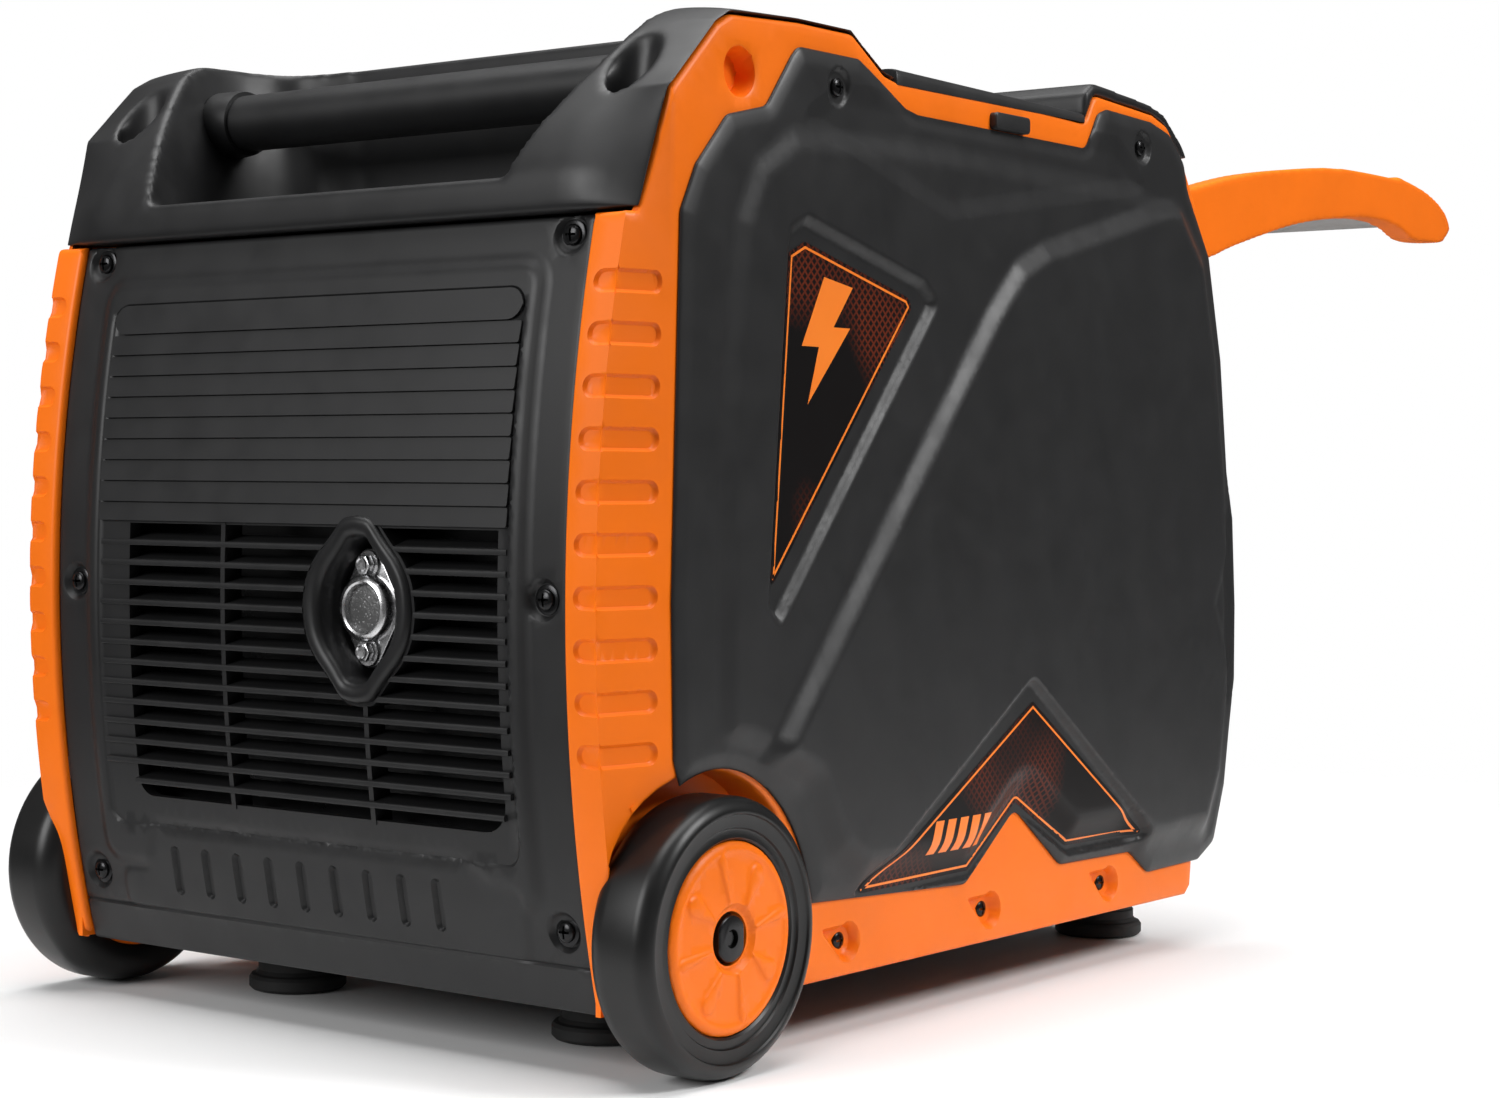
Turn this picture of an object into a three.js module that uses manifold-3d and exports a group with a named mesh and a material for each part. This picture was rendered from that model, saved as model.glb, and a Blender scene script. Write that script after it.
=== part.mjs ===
// Portable inverter generator: a closed, wheeled set with its exhaust at one end and its
// control panel at the other. Millimetres, +Z up. X runs across the set, Y from the exhaust
// end (low Y) to the control end (high Y). The finished group has its origin under the middle
// of its bounding box, on the ground.
import * as THREE from 'three';
import { mergeVertices } from 'three/addons/utils/BufferGeometryUtils.js';
import Module from 'manifold-3d';

const wasm = await Module();
wasm.setup();

// ---------------------------------------------------------------- driving dimensions
const bodyLength = 588;          // exhaust-end bulge to the far edge of the side covers
const frameHalfWidth = 203;      // outer faces of the two side frames
const bodyHeight = 470;          // underside of the skirts to the top of the caps
const groundClearance = 30;      // feet, under the skirts
const gap = 0.3;                 // between pieces that touch
const runGap = 0.6;              // round pieces that turn or slide

const coverThickness = 8;        // side cover, proud of its frame
const coverWall = 4;
const frameWall = 14.7;          // side frame section across X
const pillarInset = 26.3;        // the corner pillar reaches this far in from the frame's face
const creaseInset = 7;           // where the pillar's end face turns into its chamfer
const chamferLength = 44;        // the pillar's chamfer along Y
const bulgeRadius = 772;         // the exhaust end, seen from the side
const bulgeMid = 191;            // height of the bulge's nose above the skirts
const panelWall = 4;

const wheelRadius = 65.3;
const wheelWidth = 38;
const wheelProud = 20;           // wheel face beyond the side frame
const wheelSetback = 68;         // axle behind the exhaust-end nose
const wellRadius = 76;
const hubRadius = 45;
const axleRadius = 8;
const axleNutRadius = 12;
const axleNutLength = 9.5;

const footRadius = 26;
const footStemRadius = 22;
const footFlange = 8;

const grabTubeRadius = 15;
const grabTubeSetback = 102;
const grabTubeDrop = 33;         // tube centre below the top
const wellHalfWidth = 128;       // hand well in the front cap
const wellLipDrop = 85;
const wellFloorDrop = 95;

const armThickness = 16.5;
const armInset = 15.5;           // arm's outer face inside the frame's outer face
const handleReach = 406;         // pivot to the tip of the pull handle
const pivotSetback = 53;
const pivotDrop = 75;
const pivotRadius = 6;
const armRootRadius = 22;

const controlSetback = 36;       // control panel's face inside the far edge
const controlHalfWidth = 168;
const crankRadius = 12;
const crankHeight = 145;         // above the skirts
const crankSetback = 230;        // behind the exhaust-end nose

// ---------------------------------------------------------------- places worked out from them
const nearY = -290;
const farY = nearY + bodyLength;
const baseZ = groundClearance;
const topZ = baseZ + bodyHeight;
const coverHalfWidth = frameHalfWidth + coverThickness;
const endHalfWidth = frameHalfWidth - pillarInset - gap;
const wheelFace = frameHalfWidth + wheelProud;
const axleY = nearY + wheelSetback;
const axleZ = wheelRadius;
const armOuter = frameHalfWidth - armInset;
const crankY = nearY + crankSetback;
const crankZ = baseZ + crankHeight;

const N = (d) => nearY + d;      // back from the exhaust-end nose
const F = (d) => farY - d;       // forward from the far edge
const T = (d) => topZ - d;       // down from the top
const B = (d) => baseZ + d;      // up from the skirts

// ---------------------------------------------------------------- finishes
const finish = (color, roughness, metalness) =>
  new THREE.MeshStandardMaterial({ color, roughness, metalness });
const blackPlastic = () => finish(0x2b2b2c, 0.6, 0);
const orangePlastic = () => finish(0xf07a12, 0.45, 0);
const tyreRubber = () => finish(0x18191a, 0.75, 0);
const darkSteel = () => finish(0x202122, 0.45, 0.7);
const brightSteel = () => finish(0xb9bbbd, 0.35, 1);
const castAluminium = () => finish(0x9a9c9f, 0.55, 0.9);
const socketPlastic = () => finish(0x141416, 0.35, 0);
const tankPlastic = () => finish(0x3a3b3d, 0.5, 0);
const redPlastic = () => finish(0xb3231b, 0.4, 0);

// ---------------------------------------------------------------- solids
function toSolid(geometry) {
  const bare = geometry.clone();
  bare.deleteAttribute('normal');
  bare.deleteAttribute('uv');
  const merged = mergeVertices(bare, 1e-4);
  return new wasm.Manifold(new wasm.Mesh({
    numProp: 3,
    vertProperties: Float32Array.from(merged.attributes.position.array),
    triVerts: Uint32Array.from(merged.index.array),
  }));
}

function toGeometry(solid) {
  const mesh = solid.getMesh();
  const geometry = new THREE.BufferGeometry();
  geometry.setAttribute('position', new THREE.BufferAttribute(mesh.vertProperties, 3));
  geometry.setIndex(new THREE.BufferAttribute(mesh.triVerts, 1));
  geometry.computeVertexNormals();
  return geometry;
}

const join = (first, ...rest) =>
  toGeometry(rest.reduce((sum, g) => sum.add(toSolid(g)), toSolid(first)));
const cut = (first, ...rest) =>
  toGeometry(rest.reduce((sum, g) => sum.subtract(toSolid(g)), toSolid(first)));
const common = (first, second) => toGeometry(toSolid(first).intersect(toSolid(second)));

function anticlockwise(outline) {
  const points = outline.map(([a, b]) => new THREE.Vector2(a, b));
  return THREE.ShapeUtils.isClockWise(points) ? points.reverse() : points;
}

function extrude(outline, depth, holes) {
  const shape = new THREE.Shape(anticlockwise(outline));
  shape.holes = holes.map((hole) => new THREE.Path(anticlockwise(hole)));
  return new THREE.ExtrudeGeometry(shape, { depth, bevelEnabled: false });
}

// An outline of [y, z] points carried from x0 to x1.
function prismX(outline, x0, x1, holes = []) {
  const turn = new THREE.Matrix4().makeBasis(
    new THREE.Vector3(0, 1, 0), new THREE.Vector3(0, 0, 1), new THREE.Vector3(1, 0, 0));
  return extrude(outline, x1 - x0, holes).applyMatrix4(turn).translate(x0, 0, 0);
}

// An outline of [x, z] points carried from y0 to y1.
function prismY(outline, y0, y1, holes = []) {
  return extrude(outline, y1 - y0, holes).rotateX(Math.PI / 2).translate(0, y1, 0);
}

// An outline of [x, y] points carried from z0 to z1.
function prismZ(outline, z0, z1, holes = []) {
  return extrude(outline, z1 - z0, holes).translate(0, 0, z0);
}

function box(x0, x1, y0, y1, z0, z1) {
  return new THREE.BoxGeometry(x1 - x0, y1 - y0, z1 - z0)
    .translate((x0 + x1) / 2, (y0 + y1) / 2, (z0 + z1) / 2);
}

function arc(ca, cb, radius, fromDeg, toDeg, steps) {
  return Array.from({ length: steps + 1 }, (_, i) => {
    const t = THREE.MathUtils.degToRad(fromDeg + (toDeg - fromDeg) * i / steps);
    return [ca + radius * Math.cos(t), cb + radius * Math.sin(t)];
  });
}

const circle = (ca, cb, radius, sides = 24) => arc(ca, cb, radius, 0, 360, sides).slice(0, -1);

function roundedBox(ca, cb, width, height, radius) {
  const a = width / 2 - radius;
  const b = height / 2 - radius;
  return [
    ...arc(ca + a, cb + b, radius, 0, 90, 3), ...arc(ca - a, cb + b, radius, 90, 180, 3),
    ...arc(ca - a, cb - b, radius, 180, 270, 3), ...arc(ca + a, cb - b, radius, 270, 360, 3),
  ];
}

// A profile of [radius, x] points turned about an axis along X.
function turnedX(profile, sides = 32) {
  return new THREE.LatheGeometry(anticlockwise(profile), sides).rotateZ(-Math.PI / 2);
}

// A profile of [radius, z] points turned about an axis along Z.
function turnedZ(profile, sides = 24) {
  return new THREE.LatheGeometry(anticlockwise(profile), sides).rotateX(Math.PI / 2);
}

const generator = new THREE.Group();
const set = new THREE.Group();
generator.add(set);

function place(name, geometry, material, x = 0, y = 0, z = 0) {
  const mesh = new THREE.Mesh(geometry, material);
  mesh.name = name;
  mesh.position.set(x, y, z);
  set.add(mesh);
}

const sides = [['right', 1], ['left', -1]];
// A stretch of X between two distances from the middle, on one side.
const span = (side, a, b) => (side > 0 ? [a, b] : [-b, -a]);

// ---------------------------------------------------------------- outlines seen from the side
const bulgeY = (z) => nearY + (z - B(bulgeMid)) ** 2 / (2 * bulgeRadius);
const bulge = (inset, z0, z1, steps) => Array.from({ length: steps + 1 }, (_, i) => {
  const z = z0 + (z1 - z0) * i / steps;
  return [bulgeY(z) + inset, z];
});

const capFootZ = T(103);
const capSeam = [
  [N(15), capFootZ], [N(27), T(69)], [N(44), T(47)], [N(77), T(14)], [N(88), T(8)],
  [N(141), T(5)], [N(185), T(5)], [N(213), T(22)], [N(223), T(24)], [F(225), T(24)],
  [F(179), T(26)], [F(169), T(9)], [F(103), T(13)], [F(86), T(18)], [F(67), T(36)],
];
const coverTop = [
  [N(44), B(190)], [N(49), T(102)], [N(60), T(80)], [N(83), T(55)],
  [N(113), T(48)], [N(133), T(22)], [N(138), T(17)], [N(188), T(17)], [N(199), T(22)],
  [N(230), T(37)], [N(241), T(39)], [F(180), T(40)], [F(167), T(19)], [F(158), T(16)],
  [F(108), T(18)], [F(86), T(23)], [F(69), T(38)], [F(63), T(55)],
];
const coverFar = [
  [F(37), T(91)], [F(21), T(152)], [F(12), T(219)], [F(0), B(170)], [F(0), B(126)],
  [F(12), B(62)], [F(25), B(29)], [F(44), B(20)],
];
const coverFoot = [
  [F(105), B(19)], [F(126), B(33)], [F(203), B(34)], [F(250), B(69)], [F(300), B(33)],
];
const archRadius = wellRadius + 16;
const archOutline = arc(axleY + 10, axleZ - 14, archRadius, 12, 115, 10);

// ---------------------------------------------------------------- chassis
const trayTop = B(10);
const trayHalfWidth = endHalfWidth - 6;
place('base_tray', box(-trayHalfWidth, trayHalfWidth, N(28), F(36), baseZ, trayTop), blackPlastic());

const footSpots = [['exhaust', 108.6, N(110)], ['control', 138, F(47)]];
const footProfile = [
  [0, 0], [footRadius, 0], [footRadius, footFlange], [footStemRadius, footFlange + 3],
  [footStemRadius, groundClearance - gap], [0, groundClearance - gap],
];
for (const [end, x, y] of footSpots) {
  for (const [label, side] of sides) {
    place(`foot_${end}_${label}`, turnedZ(footProfile, 20), tyreRubber(), side * x, y, 0);
  }
}

place('axle', turnedX([
  [0, 1 - wheelFace + axleNutLength + 2], [axleRadius, 1 - wheelFace + axleNutLength + 2],
  [axleRadius, wheelFace - axleNutLength - 3], [0, wheelFace - axleNutLength - 3],
], 16), darkSteel(), 0, axleY, axleZ);

// ---------------------------------------------------------------- side frames and covers
const wellBack = frameHalfWidth - (wheelWidth - wheelProud) - 3;   // wheel well's inner wall
const wellWall = 4;

function sideFrame(side) {
  const outer = [
    ...bulge(0, baseZ, capFootZ - 1, 9), ...capSeam,
    [F(50), T(62)], [F(44), B(60)], [F(50), baseZ],
  ];
  const window = [
    [N(60), B(130)], [N(64), T(110)], [N(100), T(66)], [F(92), T(62)], [F(76), T(90)],
    [F(72), B(52)], [N(170), B(52)], [N(150), B(130)],
  ];
  const ring = prismX(outer, ...span(side, frameHalfWidth - frameWall, frameHalfWidth), [window]);
  const pillarOutline = [
    ...bulge(0, baseZ, capFootZ - 1, 9), [N(56), capFootZ - 1], [N(56), baseZ],
  ];
  const pillar = prismX(pillarOutline, ...span(side, endHalfWidth + gap, frameHalfWidth));
  const wellPlate = prismX([
    [N(20), baseZ], [N(152), baseZ], [N(152), B(118)], [N(20), B(118)],
  ], ...span(side, wellBack - wellWall, frameHalfWidth - 1));
  const chamferPlan = [
    [endHalfWidth - wellWall - 6, nearY - 5], [frameHalfWidth - creaseInset, nearY - 5],
    [frameHalfWidth - creaseInset, nearY], [frameHalfWidth, nearY + chamferLength],
    [frameHalfWidth, farY], [endHalfWidth - wellWall - 6, farY],
  ].map(([x, y]) => [side * x, y]);
  const plan = prismZ(chamferPlan, baseZ - 5, topZ + 5);
  const well = prismX(circle(axleY, axleZ, wellRadius, 40), ...span(side, wellBack, frameHalfWidth + 5));
  const axleHole = prismX(circle(axleY, axleZ, axleRadius + runGap, 16), ...span(side, 100, wellBack + 1));
  const panelRoom = box(
    -endHalfWidth - gap, endHalfWidth + gap, nearY - 10, N(28), baseZ - 1, topZ);
  return common(cut(join(ring, pillar, cut(wellPlate, panelRoom)), well, axleHole), plan);
}

const gripY = N(290);
const gripZ = B(250);
const gripPocket = roundedBox(gripY, gripZ, 96, 58, 14);

function sideCover(side) {
  const outline = [...coverTop, ...coverFar, ...coverFoot, ...archOutline];
  const x0 = frameHalfWidth + gap;
  const plate = prismX(outline, ...span(side, x0, coverHalfWidth));
  const backs = [
    [[N(64), B(135)], [N(70), T(112)], [N(100), T(78)], [F(70), T(78)], [F(28), B(172)], [F(28), B(135)]],
    [[N(185), B(50)], [F(262), B(90)], [F(240), B(90)], [F(196), B(50)], [F(48), B(50)],
      [F(28), B(128)], [N(150), B(128)]],
  ].map((points) => prismX(points, ...span(side, x0 - 1, coverHalfWidth - coverWall)));
  const cuts = side > 0 ? backs : [...backs, prismX(gripPocket, -coverHalfWidth - 1, -x0 + 1)];
  return cut(plate, ...cuts);
}

for (const [label, side] of sides) {
  place(`side_frame_${label}`, sideFrame(side), orangePlastic());
  place(`side_cover_${label}`, sideCover(side), blackPlastic());
}

// ---------------------------------------------------------------- exhaust end
const grille = { left: -118, right: 136, bottom: B(82), top: B(222), bars: 13, bar: 3, pitch: 10.2 };
const mullions = [-47.7, 50];
const mullionWidth = 3;
const outlet = { x: 46.5, z: B(183), halfWidth: 36, halfHeight: 45, rim: 10, depth: 14 };
const lens = (grow, steps = 24) => Array.from({ length: steps }, (_, i) => {
  const t = 2 * Math.PI * i / steps;
  return [
    outlet.x + (outlet.halfWidth + grow) * Math.cos(t),
    outlet.z + (outlet.halfHeight + grow) * Math.sin(t),
  ];
});

function exhaustPanel() {
  const topEdge = capFootZ - gap - 1;
  const section = [
    ...bulge(0, baseZ + gap, topEdge, 10), ...bulge(panelWall, baseZ + gap, topEdge, 10).reverse(),
  ];
  const sheet = prismX(section, -endHalfWidth, endHalfWidth);
  const slots = [];
  const columns = [grille.left, ...mullions, grille.right];
  for (let i = 0; i <= grille.bars; i += 1) {
    const z0 = grille.top - grille.pitch * (i + 1) + grille.bar;
    for (let c = 0; c < columns.length - 1; c += 1) {
      const x0 = columns[c] + (c > 0 ? mullionWidth / 2 : 0);
      const x1 = columns[c + 1] - (c < columns.length - 2 ? mullionWidth / 2 : 0);
      slots.push(box(x0, x1, nearY - 5, N(30), z0, z0 + grille.pitch - grille.bar));
    }
  }
  const hub = prismY(lens(2), nearY - 5, N(30));
  const hole = prismY(lens(gap), nearY - 6, N(31));
  const bars = cut(sheet, ...slots);
  return cut(join(bars, common(sheet, hub)), hole);
}
place('exhaust_end_panel', exhaustPanel(), blackPlastic());
place('exhaust_collar', prismY(lens(0), nearY - 2, nearY + outlet.depth, [lens(-outlet.rim)]),
  blackPlastic());

const arrestorX = outlet.x - 6;
const flangeY = nearY + outlet.depth + 1;
const arrestorHalfHeight = 29;
const arrestor = join(
  prismY([
    ...arc(arrestorX, outlet.z + arrestorHalfHeight - 8, 8, 0, 180, 6),
    ...arc(arrestorX - 2, outlet.z, 17, 160, 200, 3),
    ...arc(arrestorX, outlet.z - arrestorHalfHeight + 8, 8, 180, 360, 6),
    ...arc(arrestorX + 2, outlet.z, 17, -20, 20, 3),
  ], flangeY, flangeY + 4),
  prismY(circle(arrestorX, outlet.z, 15), flangeY - 5, flangeY + 1));
place('spark_arrestor', cut(arrestor, prismY(circle(arrestorX, outlet.z, 11), flangeY - 6, flangeY - 2)),
  brightSteel());
for (const [label, way] of [['upper', 1], ['lower', -1]]) {
  const z = outlet.z + way * (arrestorHalfHeight - 8);
  place(`arrestor_bolt_${label}`, prismY(circle(arrestorX, z, 5.2, 6), flangeY - 5.3, flangeY - gap),
    brightSteel());
}

const muffler = { x0: -70, x1: 118, y0: N(33), y1: N(92), z0: B(105), z1: B(262) };
const mufflerSkin = 2.5;
const mufflerShell = (inset) => prismY(
  roundedBox((muffler.x0 + muffler.x1) / 2, (muffler.z0 + muffler.z1) / 2,
    muffler.x1 - muffler.x0 - 2 * inset, muffler.z1 - muffler.z0 - 2 * inset, 26 - inset),
  muffler.y0 + inset, muffler.y1 - inset);
const mufflerMouth = prismY(circle(arrestorX, outlet.z, 9), muffler.y0 - 1, muffler.y0 + 4);
place('muffler', cut(mufflerShell(0), mufflerShell(mufflerSkin), mufflerMouth), darkSteel());

// ---------------------------------------------------------------- caps, deck and grab tube
const seamRise = gap;
const liftSeam = (points) => points.map(([y, z]) => [y, z + seamRise]);
const frontRear = N(223);
const rearFront = F(179);

function frontCap() {
  const silhouette = [
    [frontRear, T(17)], [N(217), T(17)], [N(185), T(0)], [N(92), T(0)], [N(77), T(7)],
    [N(9), T(75)], [N(6), capFootZ + seamRise],
  ];
  const across = prismX(
    [...liftSeam(capSeam.slice(0, 9)), ...silhouette], -frameHalfWidth, frameHalfWidth);
  const middleHalf = frameHalfWidth - frameWall - gap;
  const middle = prismX(
    [[N(6), capFootZ], [N(170), capFootZ], [frontRear, T(40)], ...silhouette.slice(0, -1)],
    -middleHalf, middleHalf);
  const handWell = prismX([
    [nearY - 20, T(wellLipDrop)], [N(28), T(wellLipDrop)], [N(34), T(wellFloorDrop)],
    [N(150), T(wellFloorDrop)], [N(156), T(wellFloorDrop - 8)], [N(156), topZ + 10],
    [nearY - 20, topZ + 10],
  ], -wellHalfWidth, wellHalfWidth);
  const hollow = prismX([
    [N(172), capFootZ - 1], [frontRear + 1, T(46)], [frontRear + 1, T(27)], [N(176), T(6)],
    [N(172), T(6)],
  ], -middleHalf + 4, middleHalf - 4);
  const tubeHole = prismX(
    circle(N(grabTubeSetback), T(grabTubeDrop), grabTubeRadius + gap, 24),
    -wellHalfWidth - 14, wellHalfWidth + 14);
  return cut(join(across, middle), handWell, hollow, tubeHole);
}
place('top_cap_exhaust_end', frontCap(), blackPlastic());
place('grab_tube', prismX(
  circle(N(grabTubeSetback), T(grabTubeDrop), grabTubeRadius, 24),
  -wellHalfWidth - 13, wellHalfWidth + 13), blackPlastic());

const deckY0 = frontRear + gap;
const deckY1 = rearFront - gap;
const capSpot = { y: (deckY0 + deckY1) / 2, neckRadius: 26, holeRadius: 30, radius: 36 };
const deck = prismX([
  [deckY0, T(24) + gap], [F(225), T(24) + gap], [deckY1, T(26) + gap], [deckY1, T(20)],
  [deckY0, T(17)],
], -frameHalfWidth, frameHalfWidth);
place('top_deck', cut(deck, prismZ(circle(0, capSpot.y, capSpot.holeRadius), T(40), T(0))),
  blackPlastic());

function rearCap() {
  const middleHalf = controlHalfWidth;
  const silhouette = [
    [F(61), T(34)], [F(67), T(27)], [F(89), T(11)], [F(108), T(7)], [F(169), T(2)], [rearFront, T(9)],
  ];
  const across = prismX(
    [...liftSeam(capSeam.slice(10)), ...silhouette], -frameHalfWidth, frameHalfWidth);
  const middle = prismX([
    [rearFront, T(26) + gap], [F(44), T(70)], [F(40), T(70)], [F(61), T(34)], ...silhouette.slice(1),
  ], -middleHalf, middleHalf);
  return join(across, middle);
}
place('top_cap_control_end', rearCap(), blackPlastic());

// ---------------------------------------------------------------- fuel tank and cap
const tankTop = T(44);
const tankFoot = Math.max(T(150), gripZ + 8);   // clear of the recoil rope and the air cleaner
const tank = join(
  prismZ(roundedBox(0, capSpot.y, 300, 170, 30), tankFoot, tankTop),
  prismZ(circle(0, capSpot.y, capSpot.neckRadius), tankTop - 1, T(19)));
place('fuel_tank', tank, tankPlastic());
const ribCount = 12;
const capOutline = Array.from({ length: ribCount * 4 }, (_, i) => {
  const t = 2 * Math.PI * i / (ribCount * 4);
  const r = capSpot.radius - (i % 4 < 2 ? 0 : 2.5);
  return [r * Math.cos(t), r * Math.sin(t)];
});
place('fuel_cap', prismZ(capOutline, T(16.4), T(2)), blackPlastic(), 0, capSpot.y, 0);

// ---------------------------------------------------------------- engine
const crankcase = { x0: -20, x1: 100, y0: crankY - 62, y1: crankY + 66, z0: B(60), z1: B(202) };
place('crankcase', cut(
  prismX(roundedBox(crankY + 2, (crankcase.z0 + crankcase.z1) / 2, 128,
    crankcase.z1 - crankcase.z0, 18), crankcase.x0, crankcase.x1),
  prismX(circle(crankY, crankZ, crankRadius + runGap), crankcase.x0 - 1, crankcase.x1 + 1)),
castAluminium());

const head = { x0: 5, x1: 82, y0: muffler.y1 + 14, y1: crankcase.y0 - gap, z0: B(118), z1: B(222) };
const finCount = 6;
const finPitch = (head.y1 - head.y0 - 8) / finCount;
const fins = Array.from({ length: finCount }, (_, i) => box(
  head.x0 - 8, head.x1 + 8, head.y0 + finPitch * i + 4, head.y0 + finPitch * i + 7,
  head.z0 - 8, head.z1 + 8));
place('cylinder_head', join(
  box(head.x0, head.x1, head.y0, head.y1, head.z0, head.z1),
  box(20, 62, muffler.y1 + gap, head.y0 + 1, B(150), B(190)), ...fins), castAluminium());
place('spark_plug', turnedZ([[0, 0], [9, 0], [9, 22], [5, 26], [5, 44], [0, 44]], 12),
  socketPlastic(), 44, head.y0 + 20, head.z1 + 8 + gap);
const carburettor = { x0: head.x1 + 8 + gap, x1: head.x1 + 34, y0: head.y0 + 4, y1: head.y0 + 44 };
place('carburettor', box(carburettor.x0, carburettor.x1, carburettor.y0, carburettor.y1, B(150), B(196)),
  castAluminium());
place('air_cleaner', prismX(
  roundedBox(crankY - 40, B(190), 150, 120, 14), carburettor.x1 + gap, carburettor.x1 + 44),
socketPlastic());

for (const [label, x, y] of [
  ['exhaust_right', 82, crankY - 42], ['exhaust_left', -2, crankY - 42],
  ['control_right', 82, crankY + 46], ['control_left', -2, crankY + 46]]) {
  place(`engine_mount_${label}`, turnedZ([
    [0, trayTop + gap], [18, trayTop + gap], [18, trayTop + 8], [13, trayTop + 14],
    [13, crankcase.z0 - 14], [18, crankcase.z0 - 8], [18, crankcase.z0 - gap], [0, crankcase.z0 - gap],
  ], 16), tyreRubber(), x, y, 0);
}

// ---------------------------------------------------------------- alternator and recoil starter
const statorRadius = 58;
const rotor = { inner: statorRadius + 2, outer: 74, rim: -78, web: -86, fan: -102 };
place('stator', prismX(circle(crankY, crankZ, statorRadius, 30), -74, crankcase.x0 - gap,
  [circle(crankY, crankZ, crankRadius + 4)]), darkSteel());
place('crankshaft', turnedX([[0, -110], [crankRadius, -110], [crankRadius, 104], [0, 104]], 20),
  brightSteel(), 0, crankY, crankZ);
const rotorCup = turnedX([
  [crankRadius + gap, rotor.web], [rotor.outer, rotor.web], [rotor.outer, -28], [rotor.inner, -28],
  [rotor.inner, rotor.rim], [crankRadius + gap, rotor.rim], [crankRadius + gap, rotor.web],
], 36);
const blades = Array.from({ length: 10 }, (_, i) =>
  box(rotor.fan, rotor.web + 1, -2, 2, 28, rotor.outer - 4).rotateX(2 * Math.PI * i / 10));
place('flywheel_rotor', join(rotorCup, ...blades), castAluminium(), 0, crankY, crankZ);
const shroudRadius = 88;
place('fan_shroud', turnedX([
  [44, -124], [shroudRadius, -124], [shroudRadius, -30], [shroudRadius - 4, -30],
  [shroudRadius - 4, -120], [44, -120], [44, -124],
], 36), blackPlastic(), 0, crankY, crankZ);
place('recoil_starter', turnedX([
  [0, -158], [40, -158], [56, -150], [56, -124 - gap], [0, -124 - gap],
], 32), blackPlastic(), 0, crankY, crankZ);

const gripTravel = 120;
const gripOut = coverHalfWidth + 8;
const grip = join(
  prismX(roundedBox(gripY, gripZ, 68, 22, 9), -gripOut, -gripOut + 20),
  prismX(circle(gripY, gripZ, 7, 12), -gripOut + 19, -gripOut + 30),
  prismX(circle(gripY, gripZ, 2.5, 8), -gripOut + 29, -gripOut + 30 + gripTravel));
place('recoil_grip', grip, blackPlastic());

// ---------------------------------------------------------------- electrical pieces
const inverter = { x0: -152, x1: 6, y0: F(178), y1: F(72), z0: trayTop + 12, z1: B(170) };
const inverterFins = Array.from({ length: 7 }, (_, i) =>
  box(inverter.x0 + 4 + i * 24, inverter.x0 + 9 + i * 24, inverter.y0, inverter.y1,
    inverter.z0 - 11, inverter.z0 + 1));
place('inverter_module', join(
  box(inverter.x0, inverter.x1, inverter.y0, inverter.y1, inverter.z0, inverter.z1), ...inverterFins),
castAluminium());
place('battery', box(26, 156, F(178), F(86), trayTop + gap, B(112)), socketPlastic());

const panelFace = farY - controlSetback;
const panelBack = panelFace - 6;
const panelFoot = trayTop + gap;
const panelHead = T(72);
const controlOutline = roundedBox(
  0, (panelFoot + panelHead) / 2, controlHalfWidth * 2 - gap, panelHead - panelFoot, 4);

// Rows of fittings keep their share of the panel's height.
const rowAt = (share) => panelFoot + share * (panelHead - panelFoot);
const upperRow = rowAt(0.7472);
const middleRow = rowAt(0.5615);
const lowerRow = rowAt(0.399);

// Each fitting sits in a hole of the control panel: its place, half sizes and proud height.
const duplex = { halfWidth: 17, halfHeight: 34 };
const fittings = {
  outlet_duplex_left: roundedBox(-104, lowerRow, 2 * duplex.halfWidth, 2 * duplex.halfHeight, 3),
  outlet_duplex_right: roundedBox(-52, lowerRow, 2 * duplex.halfWidth, 2 * duplex.halfHeight, 3),
  data_display: roundedBox(-78, upperRow, 84, 40, 4),
  usb_module: roundedBox(96, middleRow, 36, 22, 3),
};
const lockOutlet = { x: 18, z: lowerRow, radius: 29 };
const dcSocket = { x: 96, z: lowerRow, radius: 15, bore: 10.5, depth: 40 };
const engineDial = { x: 66, z: upperRow, radius: 24 };
const startButton = { x: 128, z: upperRow, radius: 9, travel: 3 };
const ecoRocker = { x: 4, z: upperRow, halfWidth: 7.5, halfHeight: 12.5 };
const breaker = { x: 18, z: middleRow, radius: 6, travel: 3 };
const groundStud = { x: 134, z: rowAt(0.283), radius: 6 };
const roundHoles = [lockOutlet, dcSocket, engineDial, startButton, breaker, groundStud];

const holes = [
  ...Object.values(fittings).map((outline) => {
    const xs = outline.map(([x]) => x);
    const zs = outline.map(([, z]) => z);
    const grow = 0.5;
    const width = Math.max(...xs) - Math.min(...xs) + 2 * grow;
    const height = Math.max(...zs) - Math.min(...zs) + 2 * grow;
    return roundedBox((Math.max(...xs) + Math.min(...xs)) / 2, (Math.max(...zs) + Math.min(...zs)) / 2,
      width, height, 3);
  }),
  ...roundHoles.map(({ x, z, radius }) => circle(x, z, radius === engineDial.radius ? 8 : radius + runGap)),
  roundedBox(ecoRocker.x, ecoRocker.z, 2 * ecoRocker.halfWidth + 2, 2 * ecoRocker.halfHeight + 4, 2),
];
// Each side of the panel turns back into a channel, where a folded handle arm lies.
const channelDepth = 46;
const channelFloor = panelFace - channelDepth;
const returns = sides.flatMap(([, side]) => [
  box(...span(side, controlHalfWidth - 4, controlHalfWidth - gap), channelFloor - 4, panelBack + 1,
    panelFoot + 4, panelHead - 4),
  box(...span(side, controlHalfWidth - 4, frameHalfWidth - frameWall - gap), channelFloor - 4,
    channelFloor, panelFoot + 4, panelHead - 4),
]);
place('control_panel', join(prismY(controlOutline, panelBack, panelFace, holes), ...returns),
  blackPlastic());

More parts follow.
